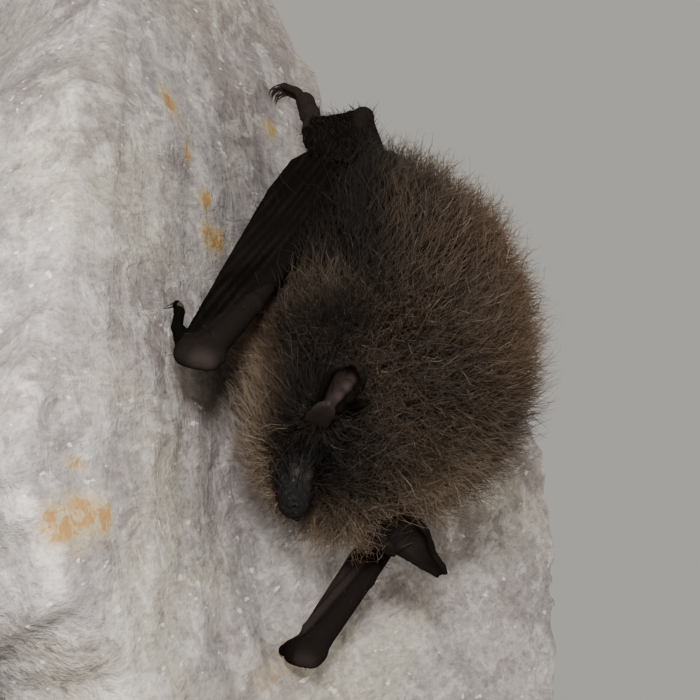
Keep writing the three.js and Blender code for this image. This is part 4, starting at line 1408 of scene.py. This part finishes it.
def furred(pelt):
    """How thickly hair grows at each point of the skin: none on bare parts and the muzzle."""
    back, up, _ = head_places(pelt.points)
    sides = fade(back, 4.0, 5.2) * fade(np.abs(up - 0.15), 1.1, 1.6)
    muzzle = np.maximum(sides, fade(back, 1.3, 2.0))
    thick = 1 + 2.2 * smooth(-pelt.points[:, 2], 41, 47) * smooth(back, 2, 5)
    return smooth(pelt.bare, 0.05, 0.5) * (1 - muzzle) * thick


def clear_of_bare(lines, flesh):
    """Which hairs keep out of the bare parts and the rock."""
    shown = np.ones(len(lines), bool)
    for ring in range(1, lines.shape[1]):
        points = lines[:, ring]
        for ear in EARS.values():
            share, turn, _, inner = ear_places(points, ear)
            over = (share > ear["furry"] / EAR_LENGTH) & (share < 1) & (np.abs(turn) < 1)
            shown &= ~(over & (inner > 0) & (inner < 3))
        kinds = flesh.nearest_kind(points)
        near = np.min([kinds[kind] for kind in ("wing", "arm", "thumb", "foot", "sheet")], axis=0)
        near = np.minimum(near, bare_ears(points))
        eyes = [apart(points, eye_place(side)) for side in SIDES.values()]
        shown &= (near > -0.02) & (np.min(eyes, 0) > EYE_RADIUS + 0.22)
        shown &= points[:, 1] < wall_face(points) + 0.1
    return shown


def below_cheek(points):
    """Share by which points lie where the left wing comes out from under the fur."""
    return fade(apart(points, WING_OPENING), 4.5, 6.5)


def grow_coat(pelt, count, settings, rng, level, spread, rings, radius, curl):
    """Hairs of one kind over body and head, up to `level` short of the coat's outer form."""
    roots, normals = pelt.roots(furred(pelt), count, rng)
    face = fade(lobe_distance(roots, HEAD_DEPTH), 0.3, 1.4)
    throat = by_wall(roots, -10, -6, 40, 44)
    lean = lie_of_coat(roots, normals)
    slant = settings.slant * rng.uniform(0.5, 1.5, count) * (1 + 2.5 * face)
    loose = 0.55 + 0.35 * face
    heading = unit(normals + lean * slant[:, None] + rng.normal(0, 1, (count, 3)) * loose[:, None])
    target = level + rng.normal(0, spread, count)
    target += 1.5 * throat + 0.9 * by_wall(roots, -8, -4, 46, 50)
    target = np.where(face > 0.5, np.minimum(target, -0.1) * 0.5, target)
    length = np.maximum(chord_length(roots, heading, target, 9.5), rng.uniform(0.6, 1.6, count))
    kink = curl * (1 - 0.35 * face) * (1 - 0.6 * below_cheek(roots))
    lines = hair_lines(roots, heading, normals, length, 0.35, kink[:, None, None], rings, rng)
    lines = draw_together(lines, roots, settings.clump, 0.15, rng)
    kept = clear_of_bare(lines, pelt.flesh)
    kept &= coat_reach(lines[:, -1]) < 2.0 + 1.2 * throat
    kept &= coat_reach(lines[:, -1]) < 0.1 + 9 * (1 - below_cheek(lines[:, -1]))
    tone = np.clip(rng.normal(0.35, 0.22, count) + 0.2 * waves(roots, 3.2), 0, 1)
    strand = np.stack([tone, rng.random(count)], 1)
    width = radius * rng.uniform(0.7, 1.3, count) * (1 - 0.5 * face) * (1 - 0.3 * throat)
    middle = lines[:, 0] + 0.8 * (lines[:, -1] - lines[:, 0])
    return [part[kept] for part in (lines, width, strand, coat_marking(middle))]


def grow_down(pelt, count, rng):
    """Sparse fine hairs that lie on the membranes near the body, the legs, feet and forearms."""
    kinds = pelt.kinds
    legs = np.exp(-np.maximum(np.minimum(kinds["sheet"], kinds["leg"]), 0) / 0.1)
    feet = 0.6 * np.exp(-np.maximum(kinds["foot"], 0) / 0.1)
    arms = 0.04 * np.exp(-np.maximum(kinds["arm"], 0) / 0.1)
    ears = 0.12 * np.exp(-np.maximum(kinds["ear"], 0) / 0.1)
    roots, normals = pelt.roots(np.maximum.reduce([legs, feet, arms, ears]), count, rng)
    lean = lie_of_coat(roots, normals) + rng.normal(0, 0.5, (count, 3))
    heading = unit(normals * 0.45 + lean)
    small = pelt.flesh.nearest_kind(roots)["foot"] < 0.3
    length = rng.uniform(0.5, 1.7, count) * np.where(small, 0.6, 1)
    lines = hair_lines(roots, heading, normals, length, 0.3, 0.08, 3, rng)
    kept = lines[:, -1, 1] < wall_face(lines[:, -1])
    strand = np.stack([np.clip(rng.normal(0.25, 0.25, count), 0, 1), rng.random(count)], 1)
    width = rng.uniform(0.018, 0.03, count)
    marking = coat_marking(roots) * 0.15 + vec(0, 0.1, 0.5)
    return [part[kept] for part in (lines, width, strand, marking)]


def grow_whiskers(pelt, count, rng):
    """Long thin whiskers from the lips and the sides of the muzzle, swept back."""
    back, up, _ = head_places(pelt.points)
    lips = smooth(back, 1.2, 1.8) * fade(back, 4, 5) * fade(np.abs(up), 0.8, 1.2)
    roots, normals = pelt.roots(lips * (pelt.kinds["head"] < 0.3), count, rng)
    heading = unit(normals * 0.9 - HEAD_AHEAD * 0.8 + rng.normal(0, 0.15, (count, 3)))
    lines = hair_lines(roots, heading, normals, rng.uniform(2.5, 4.5, count), -0.15, 0.05, 5, rng)
    kept = clear_of_bare(lines, pelt.flesh)
    strand = np.stack([np.full(count, 0.2), rng.random(count)], 1)
    width = rng.uniform(0.022, 0.03, count)
    return [part[kept] for part in (lines, width, strand, coat_marking(roots))]


# ---------------------------------------------------------------- operators

class BAT_OT_skin(bpy.types.Operator):
    """Makes the skin, in one piece from nose to tail"""

    bl_idname = "bat.skin"
    bl_label = "Skin"

    def execute(self, context):
        settings = context.scene.bat_skin
        flesh = Flesh()
        low, high = SKIN_BOX
        points, quads = surface_net(flesh.sampled(low, high, settings.step), low, settings.step)
        mesh = new_mesh("bat_skin", points, [quads])
        self.refine_head(mesh)
        points = bat_places(mesh)
        for _ in range(2):
            away = np.clip(flesh.distance(points), -SETTLE, SETTLE)[:, None]
            points = points - away * slopes(flesh.distance, points)
        put_points(mesh, points)
        mesh = self.thin_under_coat(mesh, Pelt(mesh, flesh))
        mesh.shade_smooth()
        points = bat_places(mesh)
        kinds = flesh.nearest_kind(points)
        mark(mesh, "zones", skin_zones(points, kinds))
        covered = (np.minimum(kinds["body"], kinds["head"]) < 0.3)[:, None]
        mark(mesh, "marking", coat_marking(points) * covered)
        piece = show("bat_skin", mesh, skin_material(settings))
        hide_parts("trunk", "head", "tail", "tail_membrane", *(
            f"{part}_{side}" for side in SIDES
            for part in ("ear", "tragus", "forearm", "wing", "thumb", "shin", "foot",
                         "side_membrane")))
        return {"FINISHED"}

    @staticmethod
    def refine_head(mesh):
        """Halves the mesh over muzzle, eyes and right ear, where the forms are small."""
        whole = bmesh.new()
        whole.from_mesh(mesh)
        edges = []
        for edge in whole.edges:
            middle = np.array((edge.verts[0].co + edge.verts[1].co) / 2) / MILLIMETRE - GRIP
            if within(middle, FINE_BOX):
                edges.append(edge)
        bmesh.ops.subdivide_edges(whole, edges=edges, cuts=1, use_grid_fill=True)
        bmesh.ops.triangulate(whole, faces=[face for face in whole.faces if len(face.verts) > 4])
        whole.to_mesh(mesh)
        whole.free()

    @staticmethod
    def thin_under_coat(mesh, pelt):
        """Merges most of the mesh that hair hides, and keeps the bare skin as it is."""
        whole = placed("whole_skin", mesh)
        group = whole.vertex_groups.new(name="covered")
        group.add([int(i) for i in np.flatnonzero(furred(pelt) > 0.95)], 1, "REPLACE")
        thin = whole.modifiers.new("thin", "DECIMATE")
        thin.ratio = HIDDEN_SHARE
        thin.vertex_group = "covered"
        graph = bpy.context.evaluated_depsgraph_get()
        thinned = bpy.data.meshes.new_from_object(whole.evaluated_get(graph))
        bpy.data.objects.remove(whole)
        thinned.name = "bat_skin"
        return thinned


class BAT_OT_eyes(bpy.types.Operator):
    """Makes both eyes in place of their solids"""

    bl_idname = "bat.eyes"
    bl_label = "Eyes"

    def execute(self, context):
        material = eye_material()
        for name, side in SIDES.items():
            ball = bmesh.new()
            bmesh.ops.create_uvsphere(ball, u_segments=24, v_segments=16,
                                      radius=EYE_RADIUS * MILLIMETRE)
            centre = (eye_place(-side) + GRIP) * MILLIMETRE
            bmesh.ops.translate(ball, verts=ball.verts, vec=Vector(centre))
            mesh = bpy.data.meshes.new(f"bat_eye_{name}")
            ball.to_mesh(mesh)
            ball.free()
            mesh.shade_smooth()
            piece = show(f"bat_eye_{name}", mesh, material)
            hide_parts(f"eye_{name}")
        return {"FINISHED"}


class BAT_OT_claws(bpy.types.Operator):
    """Makes the hooked claws of the toes and thumbs"""

    bl_idname = "bat.claws"
    bl_label = "Claws"

    def execute(self, context):
        material = claw_material(context.scene.bat_skin)
        for name, leg in LEGS.items():
            shapes = [tapered_tube(toe_line(leg, index)[2:], TOE_CLAW_RADII)
                      for index in range(len(FAN))]
            show(f"toe_claws_{name}", new_mesh(f"toe_claws_{name}", *joined(shapes)), material)
        for name, wing in WINGS.items():
            shape = tapered_tube(wing["thumb"][2:], THUMB_CLAW_RADII, sides=10, steps=12)
            show(f"thumb_claw_{name}", new_mesh(f"thumb_claw_{name}", *shape), material)
        return {"FINISHED"}


class BAT_OT_coat(bpy.types.Operator):
    """Grows the coat over body and head, in pieces by the side that they cover"""

    bl_idname = "bat.coat"
    bl_label = "Coat"

    def execute(self, context):
        settings = context.scene.bat_coat
        rng = np.random.default_rng(SEED)
        pelt = Pelt(bpy.data.objects["bat_skin"].data, Flesh())
        share = 1.0
        material = coat_material(settings)
        woolly = grow_coat(pelt, int(settings.woolly * share), settings, rng, level=-0.6,
                           spread=0.6, rings=5, radius=settings.radius, curl=0.34)
        self.spread("coat_woolly", woolly, 6, material, rng)
        long = grow_coat(pelt, int(settings.long * share), settings, rng, level=0.7,
                         spread=0.75, rings=6, radius=settings.radius * 0.75, curl=0.33)
        self.spread("coat_long", long, 4, material, rng)
        self.spread("coat_down", grow_down(pelt, settings.down, rng), 1, material, rng)
        self.spread("whiskers", grow_whiskers(pelt, settings.whiskers, rng), 1, material, rng)
        return {"FINISHED"}

    @staticmethod
    def spread(name, hairs, pieces, material, rng):
        """Deals hairs out to pieces by their bearing round the body."""
        lines, width, strand, marking = hairs
        centre = COAT_BODY["centre"]
        bearing = np.arctan2(lines[:, 0, 0] - centre[0], lines[:, 0, 1] - centre[1])
        order = np.argsort(bearing)
        for number, chosen in enumerate(np.array_split(order, pieces), 1):
            title = f"{name}_{number}"
            mesh = hair_mesh(title, lines[chosen], width[chosen], strand[chosen],
                             marking[chosen], centre, rng)
            show(title, mesh, material)


class BAT_OT_rock(bpy.types.Operator):
    """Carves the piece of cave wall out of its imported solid"""

    bl_idname = "bat.rock"
    bl_label = "Rock"

    def execute(self, context):
        settings = context.scene.bat_rock
        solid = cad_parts["perch_rock"]
        piece = placed("cave_wall", solid.data.copy())
        remesh = piece.modifiers.new("grain", "REMESH")
        remesh.mode = "VOXEL"
        remesh.voxel_size = settings.grain
        soften = piece.modifiers.new("soften", "CORRECTIVE_SMOOTH")
        soften.iterations = 6
        soften.use_only_smooth = True
        graph = context.evaluated_depsgraph_get()
        mesh = bpy.data.meshes.new_from_object(piece.evaluated_get(graph))
        piece.modifiers.clear()
        piece.data = mesh
        self.roughen(mesh, settings)
        mesh.shade_smooth()
        mesh.materials.clear()
        mesh.materials.append(rock_material(settings))
        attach(piece, "root")
        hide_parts("perch_rock")
        return {"FINISHED"}

    @staticmethod
    def roughen(mesh, settings):
        """Raises small lumps and streaks on the face, and deeper breaks on edges and back."""
        points = point_vectors(mesh, "co")
        normals = point_vectors(mesh, "normal")
        p = points / MILLIMETRE
        lumps = sum(np.sin(p @ vec(*wave) + turn) / size for wave, turn, size in LUMPS)
        face = smooth(-normals[:, 1], 0.5, 0.9)
        height = lumps * settings.relief * (1 - 0.65 * face)
        spot = p - GRIP
        height = height * (1 - 0.5 * patch(spot, *WALL_BY_BAT))
        points = points + normals * height[:, None]
        mesh.vertices.foreach_set("co", points.astype(np.float32).ravel())
        mesh.update()
        stain = np.zeros(len(points))
        for middle, half, width in STAINS:
            away = bar_distance(spot, middle - SLOPE * half, middle + SLOPE * half, 0.0)
            stain = np.maximum(stain, np.exp(-(away / width) ** 2))
        dull = np.exp(-(bar_distance(spot, MAUVE - SLOPE * 12, MAUVE + SLOPE * 12, 0.0) / 8) ** 2)
        yellow = smooth(spot[:, 0], -18, -8) * smooth(-spot[:, 2], 50, 65)
        mark(mesh, "stain", np.stack([stain, dull, yellow], 1))


class BAT_OT_stand(bpy.types.Operator):
    """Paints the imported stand"""

    bl_idname = "bat.stand"
    bl_label = "Stand"

    def execute(self, context):
        material = stand_material(context.scene.bat_rock)
        for name in ("stand_base", "stand_rod_1", "stand_rod_2"):
            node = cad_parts[name]
            for slot in node.material_slots:
                slot.material = material
        return {"FINISHED"}


class BAT_OT_stage(bpy.types.Operator):
    """Sets up the floor, the lights and the camera"""

    bl_idname = "bat.stage"
    bl_label = "Stage"

    def execute(self, context):
        settings = context.scene.bat_stage
        self.floor(settings)
        target = Vector(settings.target)
        bearing, height = settings.azimuth, settings.elevation
        back = Vector((math.sin(bearing) * math.cos(height), -math.cos(bearing) * math.cos(height),
                       math.sin(height)))
        right = (-back).cross(Vector((0, 0, 1))).normalized()
        up = right.cross(-back)
        turned_right = right * math.cos(settings.roll) + up * math.sin(settings.roll)
        turned_up = up * math.cos(settings.roll) - right * math.sin(settings.roll)
        axes = Matrix((turned_right, turned_up, back)).transposed().to_4x4()
        place = target + back * settings.distance
        camera = placed("camera", bpy.data.cameras.new("camera"))
        camera.data.lens = settings.lens
        camera.data.sensor_width = 36
        camera.data.clip_start = 0.005
        camera.matrix_world = Matrix.Translation(place) @ axes
        context.scene.camera = camera
        lamp_place = place + turned_up * KEY_RAISE
        self.lamp("key_light", lamp_place, target, KEY_SIZE, settings.key)
        for name, (where, power) in STUDIO_LAMPS.items():
            self.lamp(name, Vector(where), target, STUDIO_SIZE, power)
        world = bpy.data.worlds.new("studio")
        world.use_nodes = True
        sky = world.node_tree.nodes["Background"]
        sky.inputs["Color"].default_value = paint(settings.floor)
        sky.inputs["Strength"].default_value = settings.fill
        context.scene.world = world
        return {"FINISHED"}

    @staticmethod
    def floor(settings):
        """Lays the floor under the stand."""
        corners = [(x * FLOOR_REACH, y * FLOOR_REACH, 0) for x, y in
                   ((-1, -1), (1, -1), (1, 1), (-1, 1))]
        mesh = bpy.data.meshes.new("floor")
        mesh.from_pydata(corners, [], [(0, 1, 2, 3)])
        mesh.materials.append(floor_material(settings.floor))
        floor = placed("floor", mesh)
        floor.location.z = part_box("stand_base")[0][2] - FLOOR_DROP

    @staticmethod
    def lamp(name, place, target, size, power):
        """Adds a round lamp that faces the target."""
        data = bpy.data.lights.new(name, "AREA")
        data.shape = "DISK"
        data.size = size
        data.energy = power
        data.spread = math.radians(120)
        lamp = placed(name, data)
        lamp.location = place
        lamp.rotation_mode = "QUATERNION"
        lamp.rotation_quaternion = (target - place).to_track_quat("-Z", "Y")


OPERATORS = (BAT_OT_skin, BAT_OT_eyes, BAT_OT_claws, BAT_OT_coat, BAT_OT_rock, BAT_OT_stand,
             BAT_OT_stage)
SETTINGS = {"bat_skin": BatSkinSettings, "bat_coat": BatCoatSettings, "bat_rock": BatRockSettings,
            "bat_stage": BatStageSettings}


class BAT_PT_model(bpy.types.Panel):
    """Lists the steps that make the model"""

    bl_idname = "BAT_PT_model"
    bl_label = "Sleeping Bat"
    bl_space_type = "VIEW_3D"
    bl_region_type = "UI"
    bl_category = "Bat"

    def draw(self, context):
        for operator in OPERATORS:
            self.layout.operator(operator.bl_idname)


def register():
    """Adds the settings, steps and panel to Blender."""
    for kind in (*SETTINGS.values(), *OPERATORS, BAT_PT_model):
        bpy.utils.register_class(kind)
    for name, kind in SETTINGS.items():
        setattr(bpy.types.Scene, name, PointerProperty(type=kind))


def unregister():
    """Takes them out again."""
    for name in SETTINGS:
        delattr(bpy.types.Scene, name)
    for kind in (BAT_PT_model, *reversed(OPERATORS), *SETTINGS.values()):
        bpy.utils.unregister_class(kind)


def main():
    """Builds the model."""
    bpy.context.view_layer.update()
    register()
    bpy.ops.bat.stage()
    bpy.ops.bat.skin()
    bpy.ops.bat.eyes()
    bpy.ops.bat.claws()
    bpy.ops.bat.coat()
    bpy.ops.bat.rock()
    bpy.ops.bat.stand()


if __name__ == "__main__":
    main()
